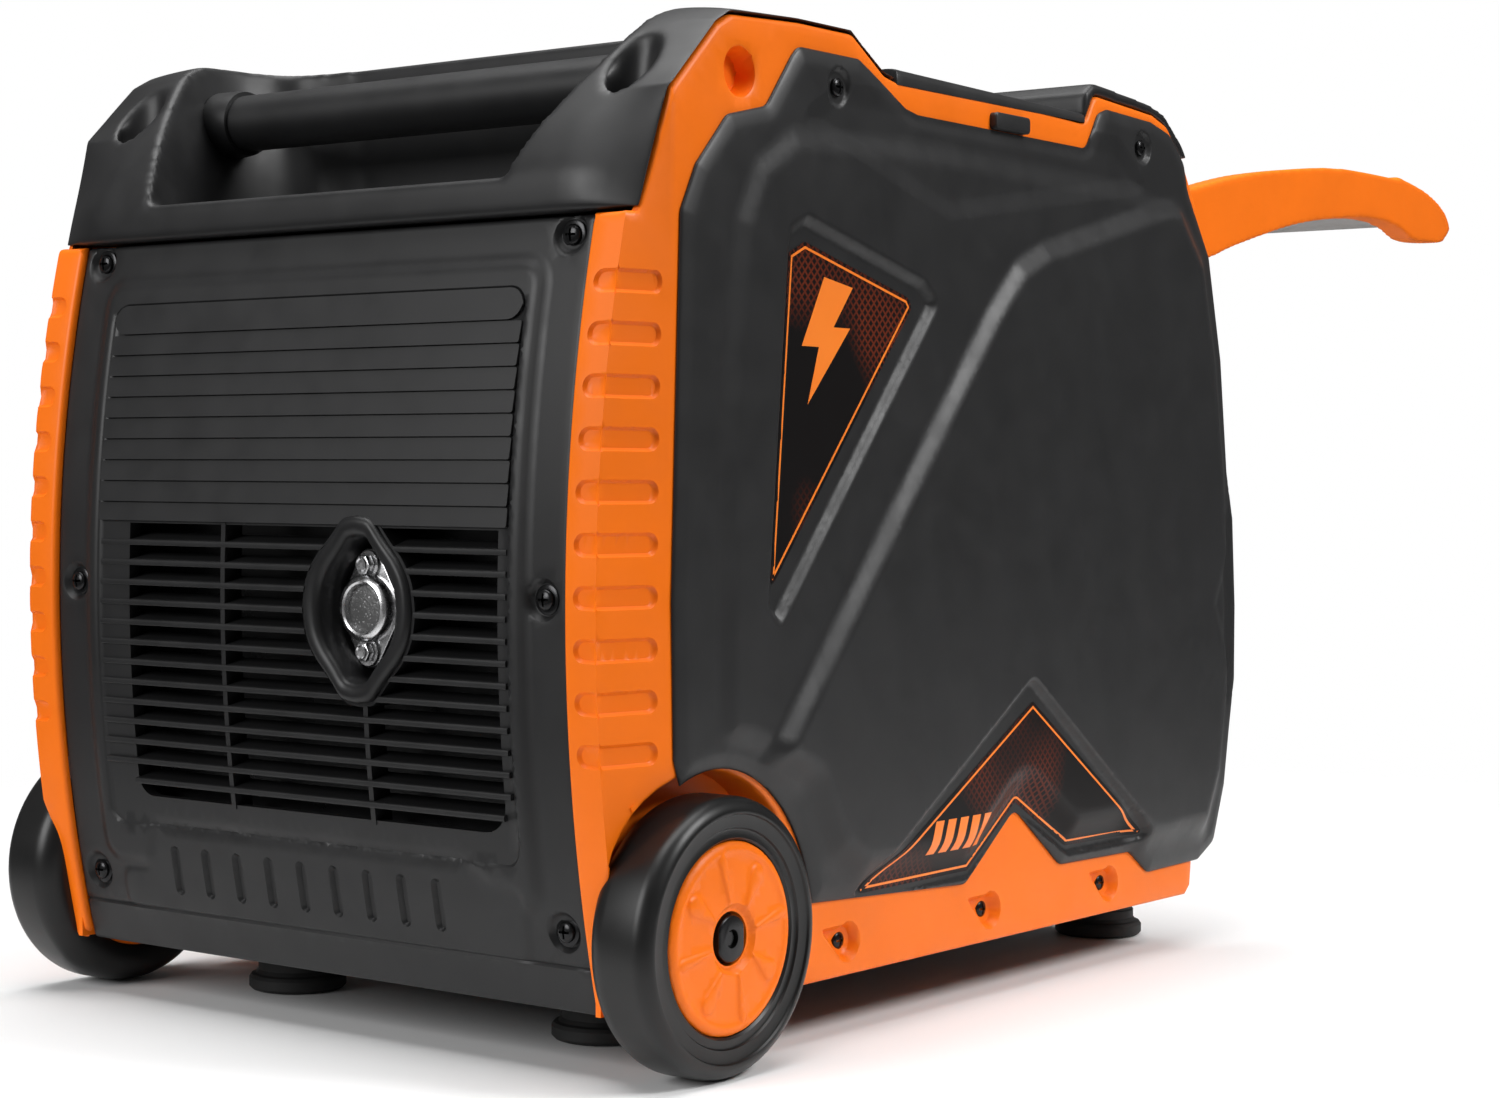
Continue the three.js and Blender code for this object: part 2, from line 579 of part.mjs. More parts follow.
for (const [name, outline] of Object.entries(fittings)) {
  place(name, prismY(outline, panelBack - 20, panelFace + 1.5), socketPlastic());
}
place('outlet_twist_lock', prismY(circle(lockOutlet.x, lockOutlet.z, lockOutlet.radius),
  panelBack - 26, panelFace + 2), socketPlastic());
const dcBody = prismY(circle(dcSocket.x, dcSocket.z, dcSocket.radius), panelFace - dcSocket.depth - 4,
  panelFace + 3);
place('dc_socket', cut(dcBody, prismY(circle(dcSocket.x, dcSocket.z, dcSocket.bore),
  panelFace - dcSocket.depth, panelFace + 4)), socketPlastic());
place('ground_terminal', join(
  prismY(circle(groundStud.x, groundStud.z, groundStud.radius, 12), panelBack - 10, panelFace + 1),
  prismY(circle(groundStud.x, groundStud.z, 8.5, 6), panelFace + gap, panelFace + 7)), brightSteel());

place('engine_switch_dial', join(
  prismY(circle(0, 0, engineDial.radius, 28), 0.5, 7),
  prismY(roundedBox(0, 0, 9, 2 * engineDial.radius - 4, 4), 6, 15),
  prismY(circle(0, 0, 7.4, 16), -18, 1)), redPlastic(), engineDial.x, panelFace, engineDial.z);
place('start_button', prismY(circle(0, 0, startButton.radius), -14, startButton.travel + 2),
  redPlastic(), startButton.x, panelFace, startButton.z);
place('breaker_button', prismY(circle(0, 0, breaker.radius, 16), -14, breaker.travel + 3),
  socketPlastic(), breaker.x, panelFace, breaker.z);
place('eco_rocker', prismX([
  [-10, -4], [1.5, -ecoRocker.halfHeight], [3.4, -ecoRocker.halfHeight], [2, 0],
  [3.4, ecoRocker.halfHeight], [1.5, ecoRocker.halfHeight], [-10, 4],
], -ecoRocker.halfWidth, ecoRocker.halfWidth), redPlastic(), ecoRocker.x, panelFace, ecoRocker.z);

// ---------------------------------------------------------------- wheels
const tyreInner = hubRadius + gap;
const shoulder = 7;
const halfTyre = wheelWidth / 2;
const tyreProfile = [
  [tyreInner, -halfTyre], [wheelRadius - shoulder, -halfTyre],
  ...arc(wheelRadius - shoulder, -halfTyre + shoulder, shoulder, 270, 360, 3),
  ...arc(wheelRadius - shoulder, halfTyre - shoulder, shoulder, 0, 90, 3),
  [tyreInner, halfTyre], [tyreInner, -halfTyre],
];
for (const [label, side] of sides) {
  const x = side * (wheelFace - halfTyre);
  place(`tyre_${label}`, turnedX(tyreProfile, 48), tyreRubber(), x, axleY, axleZ);
  const nutSeat = halfTyre - 2 - axleNutLength;
  const hub = turnedX([
    [axleRadius + runGap, -side * (halfTyre - 2)], [hubRadius, -side * (halfTyre - 2)],
    [hubRadius, side * (halfTyre - 2)], [axleNutRadius + 2, side * (halfTyre - 2)],
    [axleNutRadius + 2, side * nutSeat], [axleRadius + runGap, side * nutSeat],
    [axleRadius + runGap, -side * (halfTyre - 2)],
  ], 40);
  place(`hub_${label}`, hub, orangePlastic(), x, axleY, axleZ);
  place(`axle_nut_${label}`, prismX(circle(0, 0, axleNutRadius, 12),
    ...span(side, wheelFace - 2 - axleNutLength + gap, wheelFace - 2)), darkSteel(), 0, axleY, axleZ);
}

// ---------------------------------------------------------------- pull handle
const pivotY = F(pivotSetback);
const pivotZ = T(pivotDrop);
const armOutline = [
  ...arc(0, 0, armRootRadius, 100, 290, 10), [51, -13], [86, -3], [168, 14], [288, 24],
  [312, 16], [handleReach - 12, 17], [handleReach, 29], [369, 54], [319, 62], [233, 61],
  [167, 55], [92, 43], [30, 29],
];
const gripBar = [
  [330, 17], [handleReach - 12, 17], [handleReach, 29], [369, 54], [330, 60],
];
const armSpan = (side) => span(side, armOuter - armThickness, armOuter);
const pinHoles = sides.map(([, side]) =>
  prismX(circle(0, 0, pivotRadius + runGap, 16), ...span(side, armOuter - armThickness - 1, armOuter + 1)));
place('pull_handle', cut(
  join(...sides.map(([, side]) => prismX(armOutline, ...armSpan(side))),
    prismX(gripBar, -armOuter + 1, armOuter - 1)),
  ...pinHoles), orangePlastic(), 0, pivotY, pivotZ);
for (const [label, side] of sides) {
  place(`handle_pin_${label}`, prismX(circle(0, 0, pivotRadius, 16),
    ...span(side, armOuter - armThickness - 2, frameHalfWidth - frameWall - gap)),
  brightSteel(), 0, pivotY, pivotZ);
}

set.position.y = -(nearY + pivotY + handleReach) / 2;
export default generator;
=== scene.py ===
"""Portable inverter generator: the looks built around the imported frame.

Lengths are in millimetres in the set's own axes: X across it, Y back from the exhaust end, Z up.
NOSE is where the exhaust end's bulge is furthest out. place() turns them into metres in the frame.
"""

import math

import bmesh
import bpy
import numpy as np
from mathutils import Matrix, Vector
from mathutils.geometry import delaunay_2d_cdt


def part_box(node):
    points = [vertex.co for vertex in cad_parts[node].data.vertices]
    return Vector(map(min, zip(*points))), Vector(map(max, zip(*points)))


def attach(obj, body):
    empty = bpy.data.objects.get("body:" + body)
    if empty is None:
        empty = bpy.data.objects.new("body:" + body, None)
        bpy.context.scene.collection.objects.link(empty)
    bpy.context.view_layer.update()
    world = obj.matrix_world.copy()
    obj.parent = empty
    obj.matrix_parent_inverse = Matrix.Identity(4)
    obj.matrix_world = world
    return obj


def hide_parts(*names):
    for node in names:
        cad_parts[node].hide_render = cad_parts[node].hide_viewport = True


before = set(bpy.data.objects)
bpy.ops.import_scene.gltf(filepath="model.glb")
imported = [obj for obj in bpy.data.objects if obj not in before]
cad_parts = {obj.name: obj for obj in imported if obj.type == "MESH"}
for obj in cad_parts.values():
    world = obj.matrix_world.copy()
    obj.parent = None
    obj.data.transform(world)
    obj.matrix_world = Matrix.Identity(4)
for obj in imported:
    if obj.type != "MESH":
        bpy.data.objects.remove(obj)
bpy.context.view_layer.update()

MM = 0.001
GAP = 0.3
BODY_LENGTH = 588.0


def box_mm(node):
    """Lowest and highest corner of a CAD node, in millimetres in the row frame."""
    low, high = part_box(node)
    return np.array(low) / MM, np.array(high) / MM


def middle(node):
    low, high = box_mm(node)
    return (low + high) / 2


# ------------------------------------------------------------------ places read from the frame
AXLE_Z = middle("axle")[2]
AXLE_Y = middle("axle")[1]
AXLE_BACK = 68.0
NOSE = AXLE_Y - AXLE_BACK
FAR = NOSE + BODY_LENGTH
TOP = box_mm("top_cap_exhaust_end")[1][2]
BASE = box_mm("base_tray")[0][2]
FRAME_HALF = box_mm("side_frame_right")[1][0]
END_HALF = box_mm("exhaust_end_panel")[1][0]
CAP_FOOT = TOP - 103.0
WHEEL_RADIUS = (box_mm("tyre_right")[1][2] - box_mm("tyre_right")[0][2]) / 2
WHEEL_FACE = box_mm("tyre_right")[1][0]
WHEEL_BACK = box_mm("tyre_right")[0][0]
PANEL_FACE = FAR - 36.0
PIVOT = middle("handle_pin_right")
CREASE_INSET = 7.0
CHAMFER = 44.0
BULGE_RADIUS = 772.0
BULGE_MID = BASE + 191.0
WELL_RADIUS = 76.0


def N(d):
    return NOSE + d


def F(d):
    return FAR - d


def T(d):
    return TOP - d


def B(d):
    return BASE + d


def bulge(z):
    """Y of the exhaust end at height z."""
    return NOSE + (np.asarray(z, float) - BULGE_MID) ** 2 / (2 * BULGE_RADIUS)


# ------------------------------------------------------------------ flat geometry
def arc(ca, cb, radius, start, end, steps):
    turns = np.radians(np.linspace(start, end, steps + 1))
    return [(ca + radius * math.cos(t), cb + radius * math.sin(t)) for t in turns]


def circle(ca, cb, radius, sides=32):
    return arc(ca, cb, radius, 0, 360, sides)[:-1]


def round_rect(a0, a1, b0, b1, radius, steps=5):
    return (arc(a1 - radius, b1 - radius, radius, 0, 90, steps)
            + arc(a0 + radius, b1 - radius, radius, 90, 180, steps)
            + arc(a0 + radius, b0 + radius, radius, 180, 270, steps)
            + arc(a1 - radius, b0 + radius, radius, 270, 360, steps))


def centred(a, b, wide, tall, radius):
    """A rounded rectangle about its middle."""
    return round_rect(a - wide / 2, a + wide / 2, b - tall / 2, b + tall / 2, radius)


def fillet(loop, radius, steps=4):
    """The closed outline with its corners rounded."""
    pts = np.array(loop, float)
    out = []
    for i, corner in enumerate(pts):
        before, after = pts[i - 1] - corner, pts[(i + 1) % len(pts)] - corner
        la, lb = np.linalg.norm(before), np.linalg.norm(after)
        ua, ub = before / la, after / lb
        half = math.acos(np.clip(ua @ ub, -1, 1)) / 2
        if half > math.radians(86) or half < 1e-3:
            out.append(tuple(corner))
            continue
        reach = min(radius / math.tan(half), 0.45 * la, 0.45 * lb)
        p, q = corner + ua * reach, corner + ub * reach
        for t in np.linspace(0, 1, steps + 1):
            out.append(tuple((1 - t) ** 2 * p + 2 * t * (1 - t) * corner + t * t * q))
    return out


def spline(points, steps):
    """A smooth open line through the points."""
    p = np.array([points[0], *points, points[-1]], float)
    out = []
    for a, b, c, d in zip(p, p[1:], p[2:], p[3:]):
        for t in np.linspace(0, 1, steps, endpoint=False):
            out.append(tuple(0.5 * (2 * b + (c - a) * t + (2 * a - 5 * b + 4 * c - d) * t ** 2
                                    + (3 * b - a - 3 * c + d) * t ** 3)))
    return out + [tuple(p[-1])]


def resample(line, step, closed=True):
    pts = np.array(line, float)
    ends = np.roll(pts, -1, 0) if closed else pts[1:]
    out = []
    for a, b in zip(pts, ends):
        count = max(1, math.ceil(np.linalg.norm(b - a) / step))
        out += [a + (b - a) * k / count for k in range(count)]
    if not closed:
        out.append(pts[-1])
    return np.array(out)


def inside(p, loop):
    a = np.array(loop, float)
    hit = np.zeros(len(p), bool)
    for (x0, y0), (x1, y1) in zip(a, np.roll(a, -1, 0)):
        if y0 != y1:
            spans = (y0 > p[:, 1]) != (y1 > p[:, 1])
            hit ^= spans & (p[:, 0] < (x1 - x0) * (p[:, 1] - y0) / (y1 - y0) + x0)
    return hit


def within(p, loops):
    """True for points inside the first loop and outside the others."""
    ok = inside(p, loops[0])
    for hole in loops[1:]:
        ok &= ~inside(p, hole)
    return ok


def distance(p, loop):
    a = np.array(loop, float)
    best = np.full(len(p), np.inf)
    for s, e in zip(a, np.roll(a, -1, 0)):
        d = e - s
        t = np.clip(((p - s) @ d) / max(d @ d, 1e-12), 0, 1)
        best = np.minimum(best, np.linalg.norm(p - s - t[:, None] * d, axis=1))
    return best


def signed(p, loop):
    """Distance to the outline, above 0 inside it."""
    return np.where(inside(p, loop), 1, -1) * distance(p, loop)


def ramp(d, width):
    """0 before the edge, 1 from width past it on, smooth between."""
    t = np.clip(d / width, 0, 1)
    return t * t * (3 - 2 * t)


def dish(p, centre, radius, wall):
    """1 inside a round hollow, 0 outside it."""
    return ramp(radius - np.linalg.norm(p - np.array(centre), axis=1), wall)


def rounding(d, radius):
    """How far a rounded rim lies below the face it belongs to, at distance d from the border."""
    t = np.clip(1 - d / radius, 0, 1)
    return radius * (1 - np.sqrt(1 - t * t))


def normals(pts):
    """Unit directions square to a closed run of points."""
    ahead = np.roll(pts, -1, 0) - np.roll(pts, 1, 0)
    square = np.stack([-ahead[:, 1], ahead[:, 0]], 1)
    return square / np.maximum(np.linalg.norm(square, axis=1), 1e-9)[:, None]


def around(loop, distances, step):
    """Points beside an outline, at the distances given, above 0 inside it."""
    pts = resample(loop, step)
    after = np.roll(pts, -1, 0)
    turn = np.sign(np.sum(pts[:, 0] * after[:, 1] - pts[:, 1] * after[:, 0]))
    inward = normals(pts) * turn
    return np.concatenate([pts + inward * d for d in distances])


def inset_loop(loop, amount):
    pts = np.array(loop, float)
    square = normals(pts)
    moved = pts + square * amount
    if inside(moved, pts).mean() < 0.5:
        moved = pts - square * amount
    return [tuple(q) for q in moved]


def rings_of(centre, radii, sides=20):
    return np.concatenate([circle(*centre, r, sides) for r in radii])


def fill(loops, pitch, rings=(0.5, 1.3, 2.6), extra=(), lines=(), step=5.0):
    """Points and triangles that fill the first loop less the others."""
    loops = [resample(loop, step) for loop in loops]
    points, edges = [], []
    for run, closed in [(l, True) for l in loops] + [(resample(l, step, False), False) for l in lines]:
        start = len(points)
        points += list(run)
        edges += [(start + i, start + i + 1) for i in range(len(run) - 1)]
        if closed:
            edges.append((len(points) - 1, start))
    low, high = loops[0].min(0), loops[0].max(0)
    us, vs = (np.arange(low[k] + pitch / 2, high[k], pitch) for k in (0, 1))
    grid = np.stack(np.meshgrid(us, vs), -1).reshape(-1, 2)
    offsets = [s * r for r in rings for s in (1, -1)]
    clouds = [(grid, (max(rings) if rings else 0) + pitch * 0.4)]
    if rings:
        clouds += [(around(loop, offsets, step), 0.8 * min(rings)) for loop in loops]
    clouds += [(np.array(cloud, float), 0.4) for cloud in extra]
    for cloud, clear in clouds:
        near = np.min([distance(cloud, loop) for loop in loops], 0)
        points += list(cloud[within(cloud, loops) & (near > clear)])
    made = delaunay_2d_cdt([Vector(p) for p in points], edges, [], 0, 1e-3)
    verts = np.array([v[:] for v in made[0]])
    tris = np.array([f for f in made[2] if len(f) == 3])
    return verts, tris[within(verts[tris].mean(1), loops)]


# ------------------------------------------------------------------ meshes
def add(name, data):
    obj = bpy.data.objects.new(name, data)
    bpy.context.scene.collection.objects.link(obj)
    return obj


def place(name, verts, faces):
    """A mesh object from millimetre points, its doubles merged and its faces turned outward."""
    mesh = bpy.data.meshes.new(name)
    mesh.from_pydata((np.array(verts, float) * MM).tolist(), [], [list(map(int, f)) for f in faces])
    obj = add(name, mesh)
    weld(obj)
    return obj


def weld(obj):
    bm = bmesh.new()
    bm.from_mesh(obj.data)
    bmesh.ops.remove_doubles(bm, verts=bm.verts, dist=0.004 * MM)
    bmesh.ops.dissolve_degenerate(bm, edges=bm.edges, dist=1e-7)
    bmesh.ops.recalc_face_normals(bm, faces=bm.faces)
    bm.to_mesh(obj.data)
    bm.free()


def modify(obj, kind, **settings):
    """Applies one modifier to the object's mesh."""
    modifier = obj.modifiers.new(kind.lower(), kind)
    for field, value in settings.items():
        setattr(modifier, field, value)
    graph = bpy.context.evaluated_depsgraph_get()
    mesh = bpy.data.meshes.new_from_object(obj.evaluated_get(graph))
    obj.modifiers.clear()
    obj.data = mesh
    return obj


def bevel(obj, width, segments=3, angle=30):
    return modify(obj, "BEVEL", width=width * MM, segments=segments, limit_method="ANGLE",
                  angle_limit=math.radians(angle), miter_outer="MITER_ARC")


def boolean(obj, operation, others):
    for other in others:
        modify(obj, "BOOLEAN", operation=operation, solver="EXACT", object=other)
        bpy.data.objects.remove(other)
    weld(obj)
    return obj


def cut(obj, *others):
    return boolean(obj, "DIFFERENCE", others)


def fuse(obj, *others):
    return boolean(obj, "UNION", others)


def merge(name, parts):
    """One object from several that stay apart or only touch."""
    bm = bmesh.new()
    for part in parts:
        bm.from_mesh(part.data)
        bpy.data.objects.remove(part)
    mesh = bpy.data.meshes.new(name)
    bm.to_mesh(mesh)
    bm.free()
    return add(name, mesh)


def soften(obj, voxel, rounds, faces):
    """Melts the object's edges into moulded radii."""
    modify(obj, "REMESH", mode="VOXEL", voxel_size=voxel * MM)
    modify(obj, "SMOOTH", factor=0.5, iterations=rounds)
    return modify(obj, "DECIMATE", ratio=min(1.0, faces / max(1, len(obj.data.polygons))))


def flat(p, level, axis):
    """Flat points carried to a level, or a level each, on the axis they leave out."""
    return np.insert(p, "xyz".index(axis), level, axis=1)


def slab(name, loops, front, back, pitch=6.0, **options):
    """A closed sheet: loops in its own two coordinates, front and back giving its two faces."""
    pts, tris = fill(loops, pitch, **options)
    n = len(pts)
    directed = {(int(t[i]), int(t[(i + 1) % 3])) for t in tris for i in range(3)}
    walls = [(b, a, a + n, b + n) for a, b in directed if (b, a) not in directed]
    faces = [tuple(t) for t in tris] + [tuple(t[::-1] + n) for t in tris] + walls
    return place(name, np.concatenate([front(pts), back(pts)]), faces)


def prism(name, loops, low, high, axis):
    """Flat loops carried along an axis: x takes (y, z), y takes (x, z) and z takes (x, y)."""
    if len(loops) > 1:
        return slab(name, loops, lambda p: flat(p, high, axis), lambda p: flat(p, low, axis),
                    pitch=1e4, rings=(), step=1e4)
    ring = np.array(loops[0], float)
    n = len(ring)
    sides = [(i, (i + 1) % n, (i + 1) % n + n, i + n) for i in range(n)]
    faces = [tuple(range(n)), tuple(range(2 * n - 1, n - 1, -1))] + sides
    return place(name, np.concatenate([flat(ring, low, axis), flat(ring, high, axis)]), faces)


def plate(name, loops, side, near, far):
    """A prism along x between two distances from the middle of the set, on the given side."""
    return prism(name, loops, *sorted((side * near, side * far)), "x")


def tube_faces(rings, n, wrap_rings):
    """Quads between rings of n points, the last ring joined to the first when wrap_rings."""
    faces = []
    for k in range(rings if wrap_rings else rings - 1):
        for i in range(n):
            j, l = (i + 1) % n, (k + 1) % rings
            faces.append((k * n + i, k * n + j, l * n + j, l * n + i))
    return faces


def loft(name, sections, closed_ends=True):
    """Rings of equal count joined one to the next."""
    rings = [np.array(s, float) for s in sections]
    n = len(rings[0])
    faces = tube_faces(len(rings), n, False)
    if closed_ends:
        faces.append(tuple(range(n)))
        faces.append(tuple(range(len(rings) * n - 1, (len(rings) - 1) * n - 1, -1)))
    return place(name, np.concatenate(rings), faces)


def lathe(name, profile, centre, axis="x", sides=64, outward=1):
    """A closed profile of (radius, distance along the axis) points turned about the axis."""
    rings = []
    for t in np.linspace(0, 2 * math.pi, sides, endpoint=False):
        ring = []
        for r, a in profile:
            u, v, w = r * math.cos(t), r * math.sin(t), outward * a
            ring.append({"x": (w, u, v), "y": (u, w, v), "z": (u, v, w)}[axis])
        rings.append(np.array(ring) + np.array(centre, float))
    return place(name, np.concatenate(rings), tube_faces(sides, len(profile), True))


def copy_of(node, name):
    """A copy of a CAD node's mesh with its flat faces whole again."""
    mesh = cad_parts[node].data.copy()
    mesh.materials.clear()
    bm = bmesh.new()
    bm.from_mesh(mesh)
    bmesh.ops.remove_doubles(bm, verts=bm.verts, dist=0.01 * MM)
    bmesh.ops.dissolve_limit(bm, angle_limit=math.radians(0.6), verts=bm.verts, edges=bm.edges)
    bmesh.ops.recalc_face_normals(bm, faces=bm.faces)
    bm.to_mesh(mesh)
    bm.free()
    return add(name, mesh)


def dress(obj, material, stands_for=(), crease=32, body="chassis"):
    """Shades a piece, gives it its material and ties it to its body."""
    obj.data.materials.clear()
    obj.data.materials.append(material)
    obj.data.shade_smooth()
    obj.data.set_sharp_from_angle(angle=math.radians(crease))
    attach(obj, body)
    if stands_for:
        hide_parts(*stands_for)
    return obj


def shader(name):
    """A new material, its node tree and its main shader."""
    material = bpy.data.materials.new(name)
    material.use_nodes = True
    return material, material.node_tree, material.node_tree.nodes["Principled BSDF"]


def feed(tree, node, values):
    """Sets a node's inputs: plain values are set, sockets are linked."""
    for key, value in values.items():
        if isinstance(value, bpy.types.NodeSocket):
            tree.links.new(value, node.inputs[key])
        else:
            node.inputs[key].default_value = value


def make(tree, kind, values, **settings):
    node = tree.nodes.new("ShaderNode" + kind)
    for field, value in settings.items():
        setattr(node, field, value)
    feed(tree, node, values)
    return node


def where(tree):
    """The frame's own metres."""
    return make(tree, "TexCoord", {}).outputs["Object"]


def noise(tree, scale, detail):
    return make(tree, "TexNoise", {"Scale": scale, "Detail": detail, "Vector": where(tree)}).outputs["Fac"]


def spread(tree, source, low, high, from_low=0.3, from_high=0.7):
    return make(tree, "MapRange", {"From Min": from_low, "From Max": from_high, "To Min": low,
                                   "To Max": high, "Value": source}).outputs["Result"]


def tint(tree, source, dark, light):
    mix = make(tree, "ValToRGB", {"Fac": source})
    for stop, position, colour in zip(mix.color_ramp.elements, (0.3, 0.7), (dark, light)):
        stop.position, stop.color = position, (*colour, 1)
    return mix.outputs["Color"]


def bump(tree, source, strength, depth):
    return make(tree, "Bump", {"Strength": strength, "Distance": depth * MM,
                               "Height": source}).outputs["Normal"]


def moulded(name, colour, roughness, grain=0.12, metallic=0.0, change=0.12, specular=0.5,
            size=1100.0):
    """Moulded or cast stock: mottled colour, spark-eroded grain and patches of wear in the gloss."""
    material, tree, bsdf = shader(name)
    dark = tuple(c * (1 - change) for c in colour)
    light = tuple(min(1.0, c * (1 + change)) for c in colour)
    feed(tree, bsdf, {
        "Metallic": metallic,
        "Specular IOR Level": specular,
        "Base Color": tint(tree, noise(tree, 14.0, 5.0), dark, light),
        "Roughness": spread(tree, noise(tree, 45.0, 4.0), roughness * 0.88, min(1.0, roughness * 1.12)),
        "Normal": bump(tree, noise(tree, size, 2.0), grain, 0.12)})
    return material


def turned_metal(name, colour, roughness):
    """Bright metal with fine turned lines."""
    material, tree, bsdf = shader(name)
    dark = tuple(c * 0.8 for c in colour)
    feed(tree, bsdf, {
        "Metallic": 1.0,
        "Base Color": tint(tree, noise(tree, 60.0, 5.0), dark, colour),
        "Roughness": spread(tree, noise(tree, 300.0, 3.0), roughness * 0.7, roughness * 1.3),
        "Normal": bump(tree, noise(tree, 1500.0, 2.0), 0.15, 0.05)})
    return material


def wire_mesh(name):
    """The spark arrestor's woven screen."""
    material, tree, bsdf = shader(name)
    cells = make(tree, "TexVoronoi", {"Scale": 620.0, "Detail": 3.0, "Vector": where(tree)})
    cells = cells.outputs["Distance"]
    feed(tree, bsdf, {
        "Metallic": 0.35,
        "Base Color": tint(tree, cells, (0.85, 0.85, 0.86), (0.1, 0.1, 0.1)),
        "Roughness": 0.38,
        "Normal": bump(tree, cells, 0.5, 0.3)})
    return material


def lattice(name):
    """Gloss black film printed with a faint red-orange lattice that fades in and out."""
    material, tree, bsdf = shader(name)
    turn = make(tree, "Mapping", {"Rotation": (math.radians(45), 0, 0), "Vector": where(tree)})
    lines = {}
    for k, axis in enumerate("YZ"):
        wave = make(tree, "TexWave", {"Scale": 88.0, "Distortion": 0.0, "Vector": turn.outputs["Vector"]},
                    bands_direction=axis)
        lines[k] = spread(tree, wave.outputs["Fac"], 0, 1, 0.62, 0.9)
    top = make(tree, "Math", lines, operation="MAXIMUM")
    cloud = spread(tree, noise(tree, 13.0, 1.0), 0, 0.4, 0.46, 0.66)
    fade = make(tree, "Math", {0: top.outputs[0], 1: cloud}, operation="MULTIPLY")
    mix = make(tree, "Mix", {6: (0.006, 0.005, 0.005, 1), 7: (0.3, 0.045, 0.012, 1), 0: fade.outputs[0]},
               data_type="RGBA")
    feed(tree, bsdf, {"Base Color": mix.outputs[2], "Roughness": 0.36, "Specular IOR Level": 0.14})
    return material


COVER = moulded("textured_black", (0.0145, 0.0145, 0.015), 0.44, grain=0.2, specular=0.4)
SMOOTH_BLACK = moulded("smooth_black", (0.009, 0.009, 0.0095), 0.4, grain=0.08, specular=0.34)
CAP_BLACK = moulded("cap_black", (0.011, 0.011, 0.0115), 0.44, grain=0.18, specular=0.38)
ORANGE = moulded("orange_plastic", (0.93, 0.175, 0.003), 0.42, grain=0.1, change=0.05,
                 specular=0.28)
TYRE = moulded("tyre_rubber", (0.007, 0.007, 0.007), 0.34, specular=0.36, size=700.0)
FOOT = moulded("foot_rubber", (0.016, 0.016, 0.016), 0.72, grain=0.3, size=600.0)
DARK_STEEL = moulded("dark_steel", (0.045, 0.045, 0.047), 0.38, metallic=0.8, grain=0.15)
BLACK_SCREW = moulded("black_oxide", (0.02, 0.02, 0.021), 0.24, metallic=0.75, grain=0.05)
STEEL = turned_metal("bright_steel", (0.72, 0.72, 0.73), 0.26)
CAST = moulded("cast_aluminium", (0.45, 0.46, 0.47), 0.48, metallic=0.85, grain=0.5,
               size=420.0)
SOCKET = moulded("socket_plastic", (0.012, 0.012, 0.013), 0.3, grain=0.05)
TANK = moulded("tank_plastic", (0.05, 0.052, 0.055), 0.42, grain=0.1)
RED = moulded("red_plastic", (0.5, 0.02, 0.012), 0.32, grain=0.06, change=0.06)
GREY = moulded("grey_strip", (0.36, 0.35, 0.34), 0.5, grain=0.1)
PRINT = moulded("white_print", (0.78, 0.78, 0.76), 0.42, grain=0.05, change=0.04)
PRINT_ORANGE = moulded("orange_print", (1.0, 0.23, 0.02), 0.36, grain=0.03, change=0.05)
SCREEN = moulded("screen", (0.02, 0.028, 0.03), 0.12, grain=0.02)
GLOW = moulded("display_segments", (0.35, 0.62, 0.66), 0.35, grain=0.02)
MESH = wire_mesh("arrestor_screen")
FILM = lattice("decal_film")

SIDES = (("right", 1), ("left", -1))


# ------------------------------------------------------------------ small fittings
def stand(obj, centre, outward):
    """Turns a piece made upright at the origin to point outward from its seat."""
    turn = Vector(outward).to_track_quat("Z", "Y").to_matrix().to_4x4()
    obj.data.transform(Matrix.Translation(Vector(centre) * MM) @ turn)
    return obj


def pan_screw(name, centre, outward, radius=4.6, height=2.6):
    """A pan-head cross screw: centre on its seat, outward a unit direction."""
    edge = height * 0.35
    profile = [(radius, 0), (radius, edge)]
    profile += [(radius * math.cos(t), edge + height * 0.65 * math.sin(t))
                for t in np.radians((20, 40, 60, 80))] + [(0, height)]
    head = lathe(name, profile, (0, 0, 0), "z", 24)
    bm = bmesh.new()
    bm.from_mesh(head.data)
    bmesh.ops.holes_fill(bm, edges=bm.edges)
    bm.to_mesh(head.data)
    bm.free()
    reach, half = radius * 0.62, 0.55
    bars = [prism(name + "_slot", [round_rect(-a, a, -b, b, 0.3)], height - 1.4, height + 2, "z")
            for a, b in ((reach, half), (half, reach))]
    return stand(cut(head, *bars), centre, outward)


def washer_seat(name, centre, outward):
    profile = [(4.2, 0), (7.0, 0), (7.0, 0.6), (6.2, 1.0), (4.2, 1.0)]
    return stand(lathe(name, profile, (0, 0, 0), "z", 28), centre, outward)


def screws(name, spots, **size):
    """Several screws in one piece: spots are (centre, outward)."""
    heads = [pan_screw(f"{name}_{i}", c, o, **size) for i, (c, o) in enumerate(spots)]
    return dress(merge(name, heads), BLACK_SCREW)


# ------------------------------------------------------------------ side frames
def cap_seam():
    """The line between the frame and the caps, from the exhaust end back, as (y, z)."""
    return [(N(15), CAP_FOOT), (N(27), T(69)), (N(44), T(47)), (N(77), T(14)), (N(88), T(8)),
            (N(141), T(5)), (N(185), T(5)), (N(213), T(22)), (N(223), T(24)), (F(225), T(24)),
            (F(179), T(26)), (F(169), T(9)), (F(103), T(13)), (F(86), T(18)), (F(67), T(36))]


